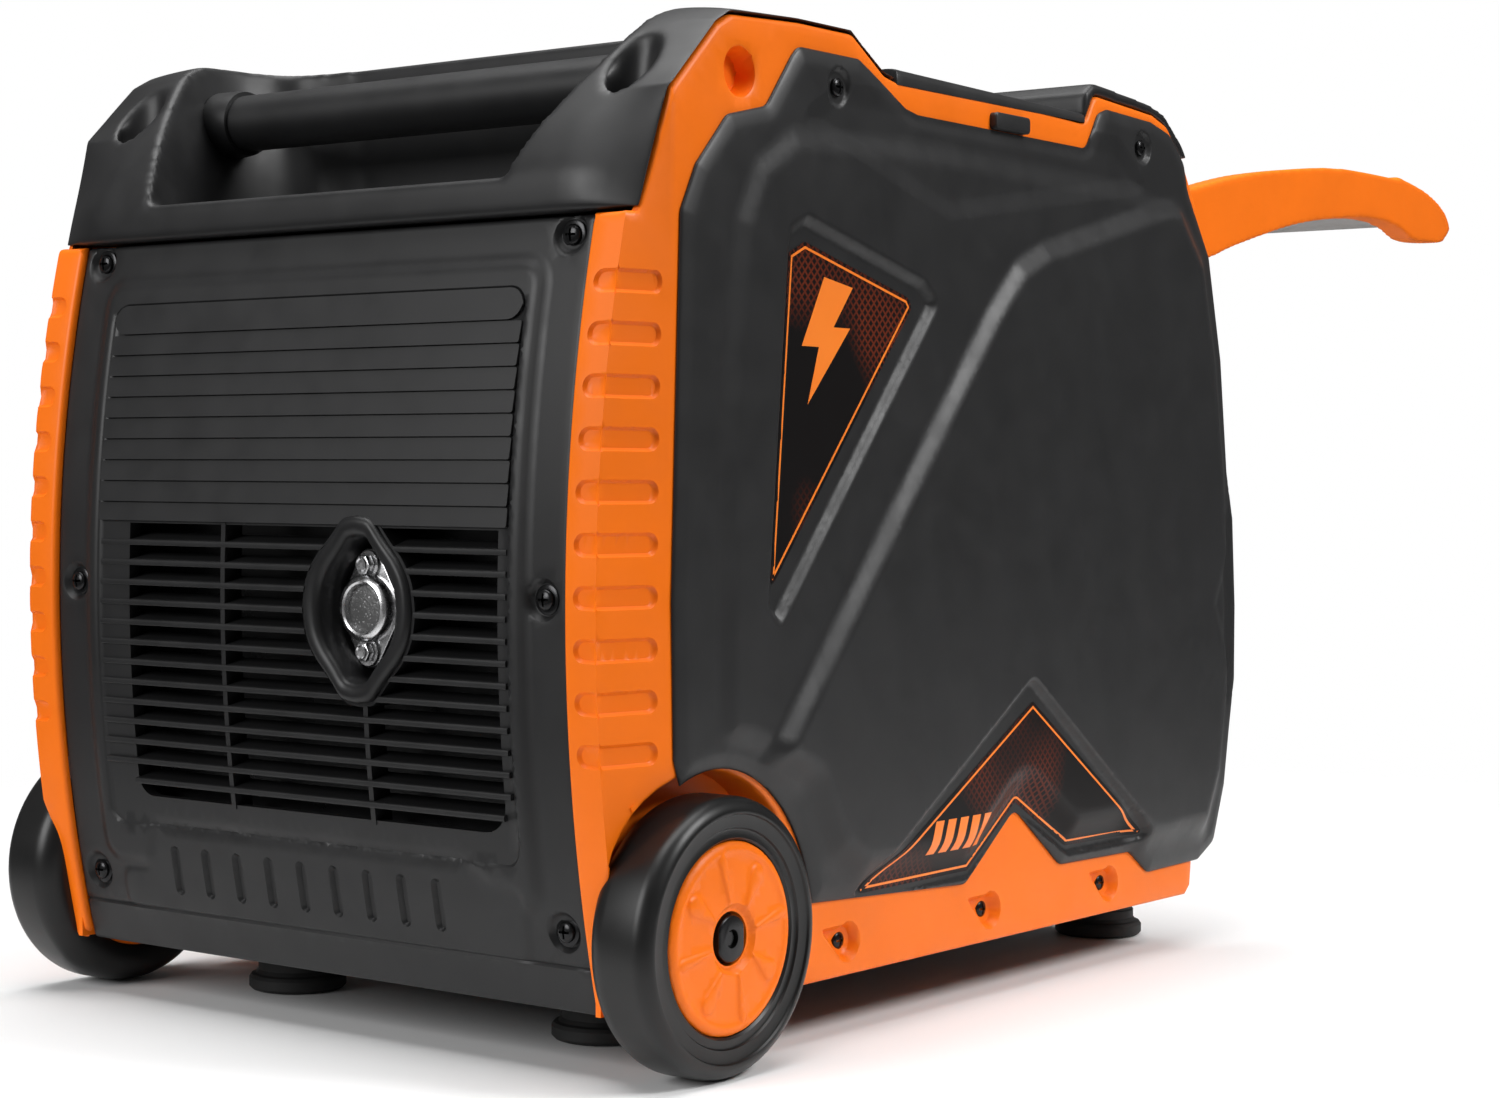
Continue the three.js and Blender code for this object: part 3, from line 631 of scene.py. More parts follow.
def wrap(side, inset):
    """Carries (s, z) round the corner pillar: s under 0 lies on its end face, 0 to CHAMFER on the
    chamfer, and past that s is the distance back from the nose on the side face."""
    def lift(p):
        s, z = p[:, 0], p[:, 1]
        crease = FRAME_HALF - CREASE_INSET
        share = np.clip(s / CHAMFER, 0, 1)
        x = crease + np.minimum(s, 0) + CREASE_INSET * share
        y = np.where(s < CHAMFER, bulge(z) + share * (NOSE + CHAMFER - bulge(z)), NOSE + s)
        drop = inset(p)
        turn = ramp(s + 3, 6)
        x = x - drop * turn
        y = y + drop * (1 - turn)
        return np.stack([side * x, y, z], 1)
    return lift


FRAME_HOLE = (94.0, T(34))
RIB_COUNT, RIB_PITCH, RIB_TOP = 10, 23.66, B(334.6)
RIB_HALF = 5.5
SKIRT_SCREWS = (185.0, 316.0, 441.0)
SKIRT_LINE = BASE + 17


def rib_outline(z):
    """A capsule lying round the pillar's crease."""
    return arc(31.0, z, RIB_HALF, -90, 90, 8) + arc(-8.0, z, RIB_HALF, 90, 270, 8)


def tear_outline(s, z):
    """A screw hollow that runs out to a point up and forward."""
    return [(s - 24, z + 9)] + arc(s, z, 10.5, 120, -140, 10)


def frame_outline():
    seam = [(y - NOSE, z) for y, z in cap_seam()]
    seam[0] = (12.0, CAP_FOOT - 0.6)
    seam = seam[:1] + fillet([(0, 0)] + seam[1:] + [(900, 0)], 9)[1:-1]
    inner = END_HALF + GAP - (FRAME_HALF - CREASE_INSET)
    rear = [(BODY_LENGTH - 50, T(62)), (BODY_LENGTH - 44, B(60)), (BODY_LENGTH - 50, BASE + 5),
            (BODY_LENGTH - 56, BASE)]
    well = arc(AXLE_BACK, AXLE_Z, WELL_RADIUS, -27.7, 207.7, 30)
    start = [(inner + 5, BASE), (inner, BASE + 6), (inner, CAP_FOOT - 1)]
    seam = [p for p in seam if 11 < p[0] < BODY_LENGTH - 66]
    return start + [(0.0, CAP_FOOT - 1)] + seam + [(BODY_LENGTH - 67, T(36))] + rear + well


def side_frame(label, side):
    outline = frame_outline()
    ribs = [rib_outline(RIB_TOP - RIB_PITCH * k) for k in range(RIB_COUNT)]
    tears = [tear_outline(s, SKIRT_LINE) for s in SKIRT_SCREWS]

    def sink(p):
        drop = rounding(distance(p, outline), 2.6)
        for rib in ribs:
            drop += 1.7 * ramp(signed(p, rib), 1.4)
        drop += 10.0 * dish(p, FRAME_HOLE, 12.5, 3.6)
        for tear in tears:
            drop += 7.0 * ramp(signed(p, tear), 5.0)
        return drop

    back = wrap(side, lambda p: 4.0 + 10.0 * ramp(p[:, 0] - CHAMFER, 12))
    extra = [around(rib, (0, 0.8, 1.6, -0.7), 1.6) for rib in ribs]
    extra += [around(tear, (0, 1.6, 3.2, -0.8), 2.5) for tear in tears]
    extra += [rings_of(FRAME_HOLE, (6, 7.5, 9, 10.5, 12, 13), 28)]
    creases = [[(0.0, BASE + 4), (0.0, CAP_FOOT - 5)], [(CHAMFER, AXLE_Z + 80), (CHAMFER, T(60))]]
    openings = [] if side > 0 else [[(y - NOSE, z) for y, z in GRIP_POCKET]]
    obj = slab(f"frame_{label}", [outline] + openings, wrap(side, sink), back, 7.0,
               extra=extra, lines=creases)
    dress(obj, ORANGE, [f"side_frame_{label}"], crease=38)
    wheel_well(label, side)
    spots = [((side * (FRAME_HALF - 7.2), NOSE + s, SKIRT_LINE), (side, 0, 0)) for s in SKIRT_SCREWS]
    screws(f"frame_screws_{label}", spots)


def wheel_well(label, side):
    """The cup that the wheel turns in."""
    inner = FRAME_HALF - 21.0
    rim = arc(0, 0, WELL_RADIUS, -27.2, 127, 36)
    outer = arc(0, 0, WELL_RADIUS + 2.5, -27.2, 127, 36)
    ring = [(AXLE_Y + a, AXLE_Z + b) for a, b in rim + outer[::-1]]
    wall = plate(f"well_wall_{label}", [ring], side, inner, FRAME_HALF - 3.5)
    disc = [(AXLE_Y + a, AXLE_Z + b) for a, b in outer + [(-47, -34)]]
    base = plate(f"well_floor_{label}", [disc, circle(AXLE_Y, AXLE_Z, 9.0, 24)], side, inner - 3, inner)
    dress(merge(f"wheel_well_{label}", [wall, base]), ORANGE)


# ------------------------------------------------------------------ side covers
def Y(v):
    """A distance back from the middle of the design's own Y, as a frame Y."""
    return NOSE + 290.0 + v


def ys(points):
    return [(Y(y), z) for y, z in points]


def cover_outline():
    top = [(N(44), B(190)), (N(49), T(102)), (N(60), T(80)), (N(83), T(55)), (N(113), T(48)),
           (N(133), T(22)), (N(138), T(17)), (N(188), T(17)), (N(199), T(22)), (N(230), T(37)),
           (N(241), T(39)), (F(180), T(40)), (F(167), T(19)), (F(158), T(16)), (F(108), T(18)),
           (F(86), T(23)), (F(69), T(38)), (F(63), T(55))]
    far = [(F(37), T(91)), (F(21), T(152)), (F(12), T(219)), (F(4), B(223)), (F(0), B(170)),
           (F(0), B(126)), (F(6), B(96)), (F(12), B(62)), (F(25), B(29)), (F(44), B(20))]
    foot = [(F(105), B(19)), (F(126), B(33)), (F(203), B(34)), (F(250), B(69)), (F(300), B(33))]
    arch = [(AXLE_Y + 9 + 0.84 * a, AXLE_Z - 14 + 0.98 * b) for a, b in arc(0, 0, 92.0, 12, 115, 22)]
    near = (N(46), B(118))
    return fillet([near] + top + far + foot, 9)[5:-1] + arch[:-1] + [near]


PLATEAU = fillet(ys([(-216, 150), (-217, 298), (-206, 398), (-190, 428), (-160, 446), (-60, 450),
                     (150, 447), (215, 438), (246, 405), (262, 348), (274, 280), (281, 200), (280, 150),
                     (272, 100), (254, 66), (180, 64), (160, 78), (100, 78), (48, 112), (0, 78),
                     (-104, 78), (-128, 92), (-148, 128), (-190, 146)]), 16)
RAISED = fillet(ys([(-190, 138), (6, 367), (34, 394), (62, 406), (200, 441), (400, 480), (400, 20),
                    (-190, 20)]), 22)
POCKET = fillet(ys([(-166, 396), (-150, 404), (-48, 378), (-34, 366), (-170, 204), (-181, 214)]), 9)
DECAL = fillet(ys([(-161, 384), (-148, 390), (-60, 368), (-56, 363), (-175, 222)]), 3)
CHEVRON_POCKET = fillet(ys([(50, 172), (-120, 66), (1, 66), (48, 97), (100, 68), (196, 68)]), 10)
CHEVRON = fillet(ys([(54, 157), (-103, 70), (1, 71), (48, 103), (100, 74), (180, 73)]), 2.5)
FAR_STEP = fillet(ys([(296, 292), (250, 203), (282, 140), (400, 140), (400, 292)]), 10)
CREASE_FOLD = fillet(ys([(-160, 448), (-27, 409), (190, 441), (150, 470), (-120, 470)]), 18)
COVER_HOLES = [(Y(-121), 467.0), (Y(177), 466.0)]
GRIP_SPOT = (N(290), B(250))
GRIP_POCKET = centred(*GRIP_SPOT, 96, 58, 14)


def cover_height(outline, right):
    """Height of the cover's face above its own back."""
    def height(p):
        d = distance(p, outline)
        h = 0.8 + 2.4 * np.clip(d / 7.5, 0, 1) ** 0.6
        plateau = signed(p, PLATEAU)
        h += 2.6 * ramp(plateau, 15)
        h += 5.6 * ramp(signed(p, RAISED), 14) * ramp(plateau + 8, 20)
        h -= 1.6 * np.clip(signed(p, CREASE_FOLD) / 10, 0, 1)
        h -= 2.8 * ramp(signed(p, FAR_STEP), 11) * ramp(d - 3, 8)
        for pocket, deep, wall in ((POCKET, 3.8, 7.0), (CHEVRON_POCKET, 3.6, 4.0)):
            h -= deep * ramp(signed(p, pocket), wall)
        for hole in COVER_HOLES:
            h -= 3.2 * dish(p, hole, 10.0, 3.0)
        if not right:
            h -= 1.6 * ramp(9 - np.abs(signed(p, GRIP_POCKET)), 9)
        return np.maximum(h, 0.6)
    return height


def cover_face(side, height, lift=0.0):
    return lambda p: flat(p, side * (FRAME_HALF + GAP + height(p) + lift), "x")


def side_cover(label, side):
    outline = cover_outline()
    height = cover_height(outline, side > 0)
    extra = [around(line, offsets, 3.0) for line, offsets in (
        (POCKET, (-1, 0, 1.5, 3.5, 5.5, 7, 8)), (CHEVRON_POCKET, (-1, 0, 1.5, 3, 4.5, 6, 7)),
        (RAISED, (-2, 0, 2, 4.5, 7, 9.5, 12, 14, 16)), (CREASE_FOLD, (-1, 0, 3, 6, 9, 11)),
        (PLATEAU, (-1, 0, 4, 8, 12, 15, 17)), (FAR_STEP, (-1, 0, 2.5, 5, 7.5, 10, 12)))]
    extra += [rings_of(hole, (4, 6, 7, 8.2, 9.3, 10, 11), 26) for hole in COVER_HOLES]
    loops = [outline] if side > 0 else [outline, GRIP_POCKET]
    back = cover_face(side, lambda p: np.zeros(len(p)))
    obj = slab(f"cover_{label}", loops, cover_face(side, height), back, 3.8,
               rings=(0.6, 1.4, 2.6, 4.2, 6.2, 8.2), extra=extra)
    dress(obj, COVER, [f"side_cover_{label}"], crease=50)
    spots = [((side * (FRAME_HALF + 1.2), *hole), (side, 0, 0)) for hole in COVER_HOLES]
    screws(f"cover_screws_{label}", spots)
    decals(label, side, height)
    latch(label, side)


def film(name, side, height, loops, lift, material):
    """A printed shape that follows the cover's face."""
    face = cover_face(side, height, lift)
    back = cover_face(side, height, lift - 0.12)
    obj = slab(name, loops, face, back, 2.6, rings=(), step=2.6)
    return dress(obj, material)


FILM_LIFT, PRINT_LIFT = 0.3, 0.42


def decals(label, side, height):
    """Two black films with an orange line round each, a plain spark mark and plain slanted bars."""
    def printed(mark, loops):
        film(f"decal_{mark}_{label}", side, height, loops, PRINT_LIFT, PRINT_ORANGE)

    for mark, shape in (("upper", DECAL), ("lower", CHEVRON)):
        film(f"decal_{mark}_{label}", side, height, [shape], FILM_LIFT, FILM)
        printed(f"{mark}_line", [inset_loop(shape, 2.0), inset_loop(shape, 3.2)])
    printed("spark", [ys([(-132, 374), (-150, 340), (-136, 340), (-145, 312), (-110, 350),
                          (-124, 350), (-108, 370)])])
    wide, tall = 7.5, 17.0
    lean, foot = 0.35 * tall, 84
    for k in range(5):
        y = -45 + 11.5 * k
        printed(f"bar_{k}", [ys([(y, foot), (y + wide, foot), (y + wide + lean, foot + tall),
                                 (y + lean, foot + tall)])])


def latch(label, side):
    """The tab over the cover's top edge."""
    shape = round_rect(Y(20), Y(54), 461, 470, 2.5)
    obj = plate(f"latch_{label}", [shape], side, FRAME_HALF - 1, FRAME_HALF + 4.5)
    dress(bevel(obj, 0.9, 2), COVER)


# ------------------------------------------------------------------ exhaust end panel
GRILLE = {"left": -118.0, "right": 136.0, "bottom": B(82), "top": B(222)}
BAR_PITCH, BAR_COUNT = 10.2, 13
MULLIONS = (-47.7, 50.0)
OUTLET = (46.5, B(183))
OUTLET_HALF = (36.0, 45.0)
LENS_WIDTHS = ((0, 0.15, 0.3, 0.42, 0.55, 0.7, 0.82, 0.91, 0.96, 0.985, 1.0),
               (1.0, 0.985, 0.94, 0.87, 0.75, 0.56, 0.42, 0.33, 0.26, 0.19, 0.0))
SIDING_LINES = [B(318 - 10.71 * k) for k in range(9)]
PAD_HALF = 155.0
PANEL_SCREWS = [(side * 162.0, z) for z in (B(357), B(191), B(38.5)) for side in (1, -1)]
PANEL_DOTS = [(-47.0, B(271)), (54.0, B(271))]
LOUVRE_SLOTS = [-97.7 + 22.93 * k for k in range(9)]
FOOT_LINE = B(22.2)


def on_bulge(behind):
    """Puts (x, z) on the exhaust end's bulge, or a distance behind it."""
    def lift(p):
        return flat(p, bulge(p[:, 1]) + (behind(p) if callable(behind) else behind), "y")
    return lift


def outlet_lens(grow, count=64):
    """The collar's outline: a lens whose ends run out into soft points."""
    out = []
    for t in np.linspace(0, 2 * math.pi, count, endpoint=False):
        wide = np.interp(abs(math.sin(t)), *LENS_WIDTHS)
        out.append((OUTLET[0] + math.copysign((OUTLET_HALF[0] + grow) * wide, math.cos(t)),
                    OUTLET[1] + (OUTLET_HALF[1] + grow) * math.sin(t)))
    return out


def panel_depth(outline):
    """How far the panel's face lies behind the bulge, at (x, z)."""
    pad = round_rect(-PAD_HALF, PAD_HALF, B(42), B(350), 16)
    low_pad = fillet([(-112, B(70)), (105, B(70)), (122, B(60)), (142, B(58)), (142, B(20)),
                      (-142, B(20)), (-142, B(44)), (-119, B(44))], 10)
    inner = round_rect(-142.5, 143.5, B(66), B(334.5), 10)
    capsules = [round_rect(x - 3.4, x + 3.4, B(31), B(57), 3.4) for x in LOUVRE_SLOTS]

    def depth(p):
        d = rounding(distance(p, outline), 2.0)
        low = ramp(signed(p, low_pad) + 2, 6.0)
        d += (3.2 - 3.2 * ramp(signed(p, pad), 9.0)) * (1 - low) + 1.7 * low
        d += 1.3 * ramp(signed(p, inner), 1.6)
        d += 1.2 * np.clip(1 - np.abs(p[:, 1] - FOOT_LINE) / 1.3, 0, 1)
        for capsule in capsules:
            d += 2.4 * ramp(signed(p, capsule), 2.0)
        for spot in PANEL_SCREWS:
            d += 3.4 * dish(p, spot, 10.5, 3.4)
        for dot in PANEL_DOTS:
            d += 0.9 * dish(p, dot, 2.6, 1.2)
        return d
    return depth, [pad, low_pad, inner], capsules


def exhaust_panel():
    outline = round_rect(-END_HALF, END_HALF, BASE + GAP, CAP_FOOT - 1.3, 2.0, 3)
    opening = (arc(GRILLE["right"] - 14, GRILLE["bottom"] + 14, 14, 270, 360, 6)
               + [(GRILLE["right"], GRILLE["top"]), (GRILLE["left"], GRILLE["top"])]
               + arc(GRILLE["left"] + 10, GRILLE["bottom"] + 10, 10, 180, 270, 6))
    depth, edges, capsules = panel_depth(outline)
    extra = [around(edges[0], (-1.5, 0, 2, 4, 6, 8, 10), 3.5), around(edges[1], (-2, 0, 2, 4), 4.0),
             around(edges[2], (0, 0.8, 1.6), 5.0)]
    extra += [around(c, (-0.6, 0, 0.9, 1.8, 2.6), 1.5) for c in capsules]
    extra += [rings_of(spot, (5, 6.5, 7.6, 8.8, 10, 11), 26) for spot in PANEL_SCREWS]
    extra += [rings_of(dot, (1, 2, 3), 12) for dot in PANEL_DOTS]
    seam = [[(-END_HALF + 1, FOOT_LINE + o), (END_HALF - 1, FOOT_LINE + o)] for o in (-1.3, 0, 1.3)]
    obj = slab("exhaust_panel", [outline, opening], on_bulge(depth), on_bulge(8.0), 7.0,
               extra=extra, lines=seam)
    dress(obj, CAP_BLACK, ["exhaust_end_panel"], crease=40)
    siding()
    grille()
    panel_screws(depth)


def bowed(name, loop, out, back, slope=0.0):
    """A small raised shape on the panel, following its bulge; slope tips its face along z."""
    foot = min(z for _, z in loop)
    face = on_bulge(lambda p: slope * (p[:, 1] - foot) - out)
    return slab(name, [loop], face, on_bulge(back), 40.0, rings=(), step=20.0)


def siding():
    """Overlapping planks, each one's lower edge standing proud of the next."""
    planks = []
    bottoms = SIDING_LINES[1:] + [GRILLE["top"] + 0.6]
    for k, (top, low) in enumerate(zip(SIDING_LINES, bottoms)):
        loop = round_rect(-141.0, 142.0, low + 0.7, top, 1.0, 2)
        planks.append(bowed(f"plank_{k}", loop, 0.6, 3.0, 0.09))
    head = round_rect(-141.0, 142.0, SIDING_LINES[0] + 0.7, B(333.5), 9.0, 6)
    planks.append(bowed("plank_head", head, 0.5, 3.0, 0.02))
    dress(merge("siding", planks), CAP_BLACK)


def grille():
    """Slanted blades across the opening, with two upright ties."""
    blades = []
    for k in range(BAR_COUNT):
        z = GRILLE["top"] - BAR_PITCH * k
        y = float(bulge(z))
        section = fillet([(y + 0.3, z - 11.4), (y + 0.3, z - 8.6), (y + 3.0, z - 8.0), (y + 15, z - 5.0),
                          (y + 15, z - 7.4), (y + 3.0, z - 11.2)], 0.8, 3)
        ends = (-118.5, 136.5) if k == BAR_COUNT - 1 else (-139.5, 141.5)
        blades.append(prism(f"blade_{k}", [section], *ends, "x"))
    ties = []
    for x in MULLIONS:
        loop = [(x - 1.5, GRILLE["bottom"] - 2), (x + 1.5, GRILLE["bottom"] - 2),
                (x + 1.5, GRILLE["top"] + 1), (x - 1.5, GRILLE["top"] + 1)]
        ties.append(bowed(f"tie_{x}", loop, -0.8, 12.0))
    lip = slab("grille_hub", [outlet_lens(1.6), outlet_lens(-2.0)], on_bulge(1.0), on_bulge(16.0), 30.0,
               rings=())
    hub = prism("hub_cutter", [outlet_lens(1.2)], N(-5), N(40), "y")
    bars = merge("grille_blades", blades + ties)
    cut(bars, hub)
    dress(bars, CAP_BLACK)
    dress(lip, SMOOTH_BLACK)
    baffle()


def baffle():
    """The dark duct behind the blades, open round the muffler's mouth."""
    rim = round_rect(GRILLE["left"] - 12, GRILLE["right"] + 10, GRILLE["bottom"] - 8, GRILLE["top"] + 8, 8)
    wall = slab("duct", [rim, inset_loop(rim, 3.0)], on_bulge(8.2), lambda p: flat(p, N(32), "y"), 40.0,
                rings=())
    mouth = circle(OUTLET[0] - 6, OUTLET[1], 24, 40)
    back = prism("duct_floor", [rim, mouth], N(30.2), N(31.8), "y")
    dress(wall, SMOOTH_BLACK)
    dress(back, SOCKET)


def panel_screws(depth):
    spots = []
    for x, z in PANEL_SCREWS:
        at = float(depth(np.array([[x, z]]))[0])
        spots.append(((x, float(bulge(z)) + at, z), (0, -1, 0)))
    seats = merge("panel_washers", [washer_seat(f"panel_washer_{i}", c, o)
                                    for i, (c, o) in enumerate(spots)])
    dress(seats, BLACK_SCREW)
    raised = [((c[0], c[1] - 0.8, c[2]), o) for c, o in spots]
    screws("panel_screws", raised, radius=5.0, height=3.0)


# ------------------------------------------------------------------ exhaust outlet
def collar():
    """The outlet's rim, rolling over into a deep funnel."""
    steps = [(0.0, N(10)), (0.0, N(1.5)), (-0.6, N(-0.6)), (-1.8, N(-1.8)), (-3.5, N(-2.2)),
             (-6.5, N(-1.9)), (-8.8, N(-0.8)), (-10.0, N(1.5)), (-10.4, N(14)), (-10.8, N(30)),
             (-8.0, N(30)), (-3.0, N(18))]
    rings = [[(x, y, z) for x, z in outlet_lens(grow)] for grow, y in steps + steps[:1]]
    obj = loft("collar", rings, False)
    dress(obj, SMOOTH_BLACK, ["exhaust_collar"], crease=50)


def arrestor():
    """Spark arrestor: a two-lug flange, a turned boss and its screen, held by two bolts."""
    low, high = box_mm("spark_arrestor")
    x, z = (low[0] + high[0]) / 2, (low[2] + high[2]) / 2
    tall = (high[2] - low[2]) / 2
    face = high[1] - 4
    flange = fillet(arc(x, z + tall - 8.5, 8.5, 25, 155, 8) + arc(x, z, 19, 150, 210, 8)
                    + arc(x, z - tall + 8.5, 8.5, 205, 335, 8) + arc(x, z, 19, -30, 30, 8), 5)
    sheet = bevel(prism("arrestor_flange", [flange], face, high[1], "y"), 0.8, 3)
    boss = lathe("arrestor_boss", [(11.4, 0.4), (16.2, 0.4), (16.2, -3.6), (15.0, -5.2), (13.0, -5.8),
                                   (12.0, -5.2), (11.4, -2.6)], (x, face, z), "y", 56)
    body = merge("arrestor_body", [sheet, boss])
    dress(body, STEEL, ["spark_arrestor"], crease=40)
    screen = lathe("arrestor_screen", [(0.01, -3.4), (6.0, -3.2), (11.5, -2.2), (11.5, -1.0), (0.01, -1.0)],
                   (x, face, z), "y", 40)
    dress(screen, MESH)
    for name in ("upper", "lower"):
        arrestor_bolt(name, middle(f"arrestor_bolt_{name}"), face)


def arrestor_bolt(name, centre, seat):
    x, _, z = centre
    head = prism(f"bolt_head_{name}", [circle(x, z, 5.1, 6)], seat - 5.4, seat - 1.6, "y")
    bevel(head, 0.6, 3)
    profile = [(0.01, -1.5), (6.8, -1.5), (7.2, -1.0), (7.2, -0.05), (0.01, -0.05)]
    disc = lathe(f"bolt_washer_{name}", profile, (x, seat, z), "y", 32)
    cup = lathe(f"bolt_cup_{name}", [(0.01, -0.4), (2.6, -0.4), (3.2, -0.9), (3.6, 0), (0.01, 0)],
                (x, seat - 5.2, z), "y", 24)
    obj = merge(f"bolt_{name}", [head, disc, cup])
    dress(obj, STEEL, [f"arrestor_bolt_{name}"], crease=40)


# ------------------------------------------------------------------ caps, deck, grab tube
CAP_SCREW_X = 171.0
SHOULDER_START = FRAME_HALF - 48.0


def wrapped_seam():
    """The seam's front part, set back with the bulge where it crosses the pillar's chamfer."""
    line = []
    for y, z in cap_seam()[:9]:
        share = min((y - NOSE) / CHAMFER, 1.0)
        back = min(float(bulge(z)), NOSE + CHAMFER)
        line.append((back + share * (NOSE + CHAMFER - back) if share < 1 else y, z))
    return line


def front_cap():
    """The exhaust-end cap: two shoulders, a front lip and a rear rim round the hand well."""
    edge = wrapped_seam()
    seam = [(y + 2.4, z - 1.8) for y, z in edge]
    seam[0] = (edge[0][0], CAP_FOOT + GAP)
    front = spline([(N(110), T(0)), (N(93), T(1)), (N(75), T(9)), (N(51), T(34)), (N(33), T(57)),
                    (N(22), T(75)), (N(17.5), T(87)), (N(17), CAP_FOOT + GAP)], 4)
    silhouette = [(N(223), T(17)), (N(217), T(17)), (N(185), T(0))] + front
    across = prism("cap_across", [seam + silhouette], -FRAME_HALF, FRAME_HALF, "x")
    inner = FRAME_HALF - 15.0
    core = [(N(17), CAP_FOOT), (N(170), CAP_FOOT), (N(223), T(40))] + silhouette[:-1]
    fuse(across, prism("cap_middle", [core], -inner, inner, "x"))
    bevel(across, 6.0, 4, 50)
    cut(across, hand_well_cutter(), cap_hollow(inner), *cap_screw_cutters())
    soften(across, 2.0, 10, 60000)
    round_shoulders(across, [(y - 1.4, z + 1.6) for y, z in edge])
    dress(across, CAP_BLACK, ["top_cap_exhaust_end"], crease=60)
    spots = [((side * CAP_SCREW_X, N(53), T(50)), (0, -0.62, 0.78)) for _, side in SIDES]
    heads = [pan_screw(f"cap_screw_{i}", c, o, radius=4.2) for i, (c, o) in enumerate(spots)]
    dress(merge("cap_screws", heads), STEEL)


def nearest(p, line):
    """The closest point of an open line to each point."""
    best = np.full(len(p), 1e9)
    found = np.zeros_like(p)
    for a, b in zip(np.array(line[:-1]), np.array(line[1:])):
        share = np.clip(((p - a) @ (b - a)) / ((b - a) @ (b - a)), 0, 1)
        q = a + share[:, None] * (b - a)
        gap = np.linalg.norm(p - q, axis=1)
        found = np.where((gap < best)[:, None], q, found)
        best = np.minimum(gap, best)
    return found


def round_shoulders(obj, seam):
    """Rolls the cap's ends over until they meet the side frames along the seam."""
    count = len(obj.data.vertices)
    flat = np.empty(count * 3)
    obj.data.vertices.foreach_get("co", flat)
    p = flat.reshape(-1, 3) / MM
    start, room = SHOULDER_START, FRAME_HALF - SHOULDER_START
    wide = np.abs(p[:, 0])
    roll = 0.93 * np.clip((wide - start) / room, 0, 1) ** 2.2
    side = p[:, 1:] + (nearest(p[:, 1:], seam) - p[:, 1:]) * roll[:, None]
    bow = np.minimum(bulge(side[:, 1]), NOSE + CHAMFER - 4)
    limit = FRAME_HALF - CREASE_INSET * (1 - np.clip((side[:, 0] - bow) / (NOSE + CHAMFER - bow), 0, 1))
    wide = np.where(wide > start, start + (wide - start) * (limit - start) / room, wide)
    moved = np.stack([np.sign(p[:, 0]) * wide, side[:, 0], side[:, 1]], 1) * MM
    obj.data.vertices.foreach_set("co", moved.ravel())
    obj.data.update()


def hand_well_cutter():
    """The hand well: narrow at the front lip, wider and softly cornered further back."""
    def plan(front, back, grow):
        pts = spline([(front, N(-30)), (front, N(10)), (front + 8 + grow, N(40)), (back + grow, N(95)),
                      (back + grow, N(128)), (back - 12 + grow, N(150)), (back - 40, N(157))], 5)
        return pts + [(-x, y) for x, y in pts[::-1]]
    levels = [(T(95), 121, 140, -4), (T(88), 122, 143, 0), (T(60), 124, 146, 4), (T(30), 128, 150, 8),
              (T(-15), 136, 154, 14)]
    rings = [[(x, y, z) for x, y in plan(f, b, g)] for z, f, b, g in levels]
    well = loft("well_cutter", rings)
    lip = [(-300, N(-60)), (300, N(-60)), (300, N(31)), (-300, N(31))]
    return cut(well, prism("lip_cutter", [lip], T(120), T(84.6), "z"))


def cap_hollow(inner):
    loop = [(N(172), CAP_FOOT - 1), (N(224), T(46)), (N(224), T(27)), (N(182), T(8)), (N(172), T(8))]
    return prism("cap_hollow", [loop], -inner + 4, inner - 4, "x")


def cap_screw_cutters():
    """Level-floored pockets let into the sloping shoulders."""
    made = []
    for label, side in SIDES:
        rings = [[(a, b, z) for a, b in circle(side * CAP_SCREW_X, N(54), radius, 28)]
                 for z, radius in ((T(50), 11.5), (T(0), 14.0))]
        made.append(loft(f"cap_pocket_{label}", rings))
    return made


def grab_tube():
    centre = middle("grab_tube")
    low, high = box_mm("grab_tube")
    r = (high[2] - low[2]) / 2
    profile = [(0.01, -162)] + [(r, v) for v in (-162, -80, 0, 80, 162)] + [(0.01, 162)]
    dress(lathe("grab_bar", profile, centre, "x", 56), CAP_BLACK, ["grab_tube"], crease=60)
    profile = [(r - 1, 140), (r + 2.2, 140), (r + 3.0, 146), (r + 3.0, 158), (r - 1, 158)]
    collars = [lathe(f"grab_collar_{label}", profile, centre, "x", 48, side) for label, side in SIDES]
    dress(merge("grab_collars", collars), CAP_BLACK, crease=60)


def cap_spot():
    low, high = box_mm("fuel_cap")
    return (low[1] + high[1]) / 2, (high[1] - low[1]) / 2


def top_deck():
    """The deck between the caps: a raised ring round the filler and two shallow panels beside it."""
    y0, y1 = N(223) + GAP, F(179) - GAP
    outline = round_rect(-FRAME_HALF, FRAME_HALF, y0, y1, 1.0, 2)
    y_cap, _ = cap_spot()
    hole = circle(0, y_cap, 30.0, 48)
    wells = [round_rect(s * 121 - 55, s * 121 + 55, y0 + 24, y1 - 24, 14) for s in (1, -1)]

    def face(p):
        z = T(17) - 3.0 * (p[:, 1] - y0) / (y1 - y0) - rounding(FRAME_HALF - np.abs(p[:, 0]), 4.0)
        z = z - 2.2 * dish(p, (0, y_cap), 62, 6)
        for well in wells:
            z = z - 1.8 * ramp(signed(p, well), 5)
        return flat(p, z, "z")

    extra = [around(w, (0, 2.5, 5), 6.0) for w in wells]
    extra += [rings_of((0, y_cap), (34, 40, 48, 56, 58, 60, 62), 48)]
    obj = slab("deck", [outline, hole], face, lambda p: flat(p, T(25.4), "z"), 9.0,
               rings=(1.0, 2.2, 4.0), extra=extra)
    dress(obj, COVER, ["top_deck"], crease=50)


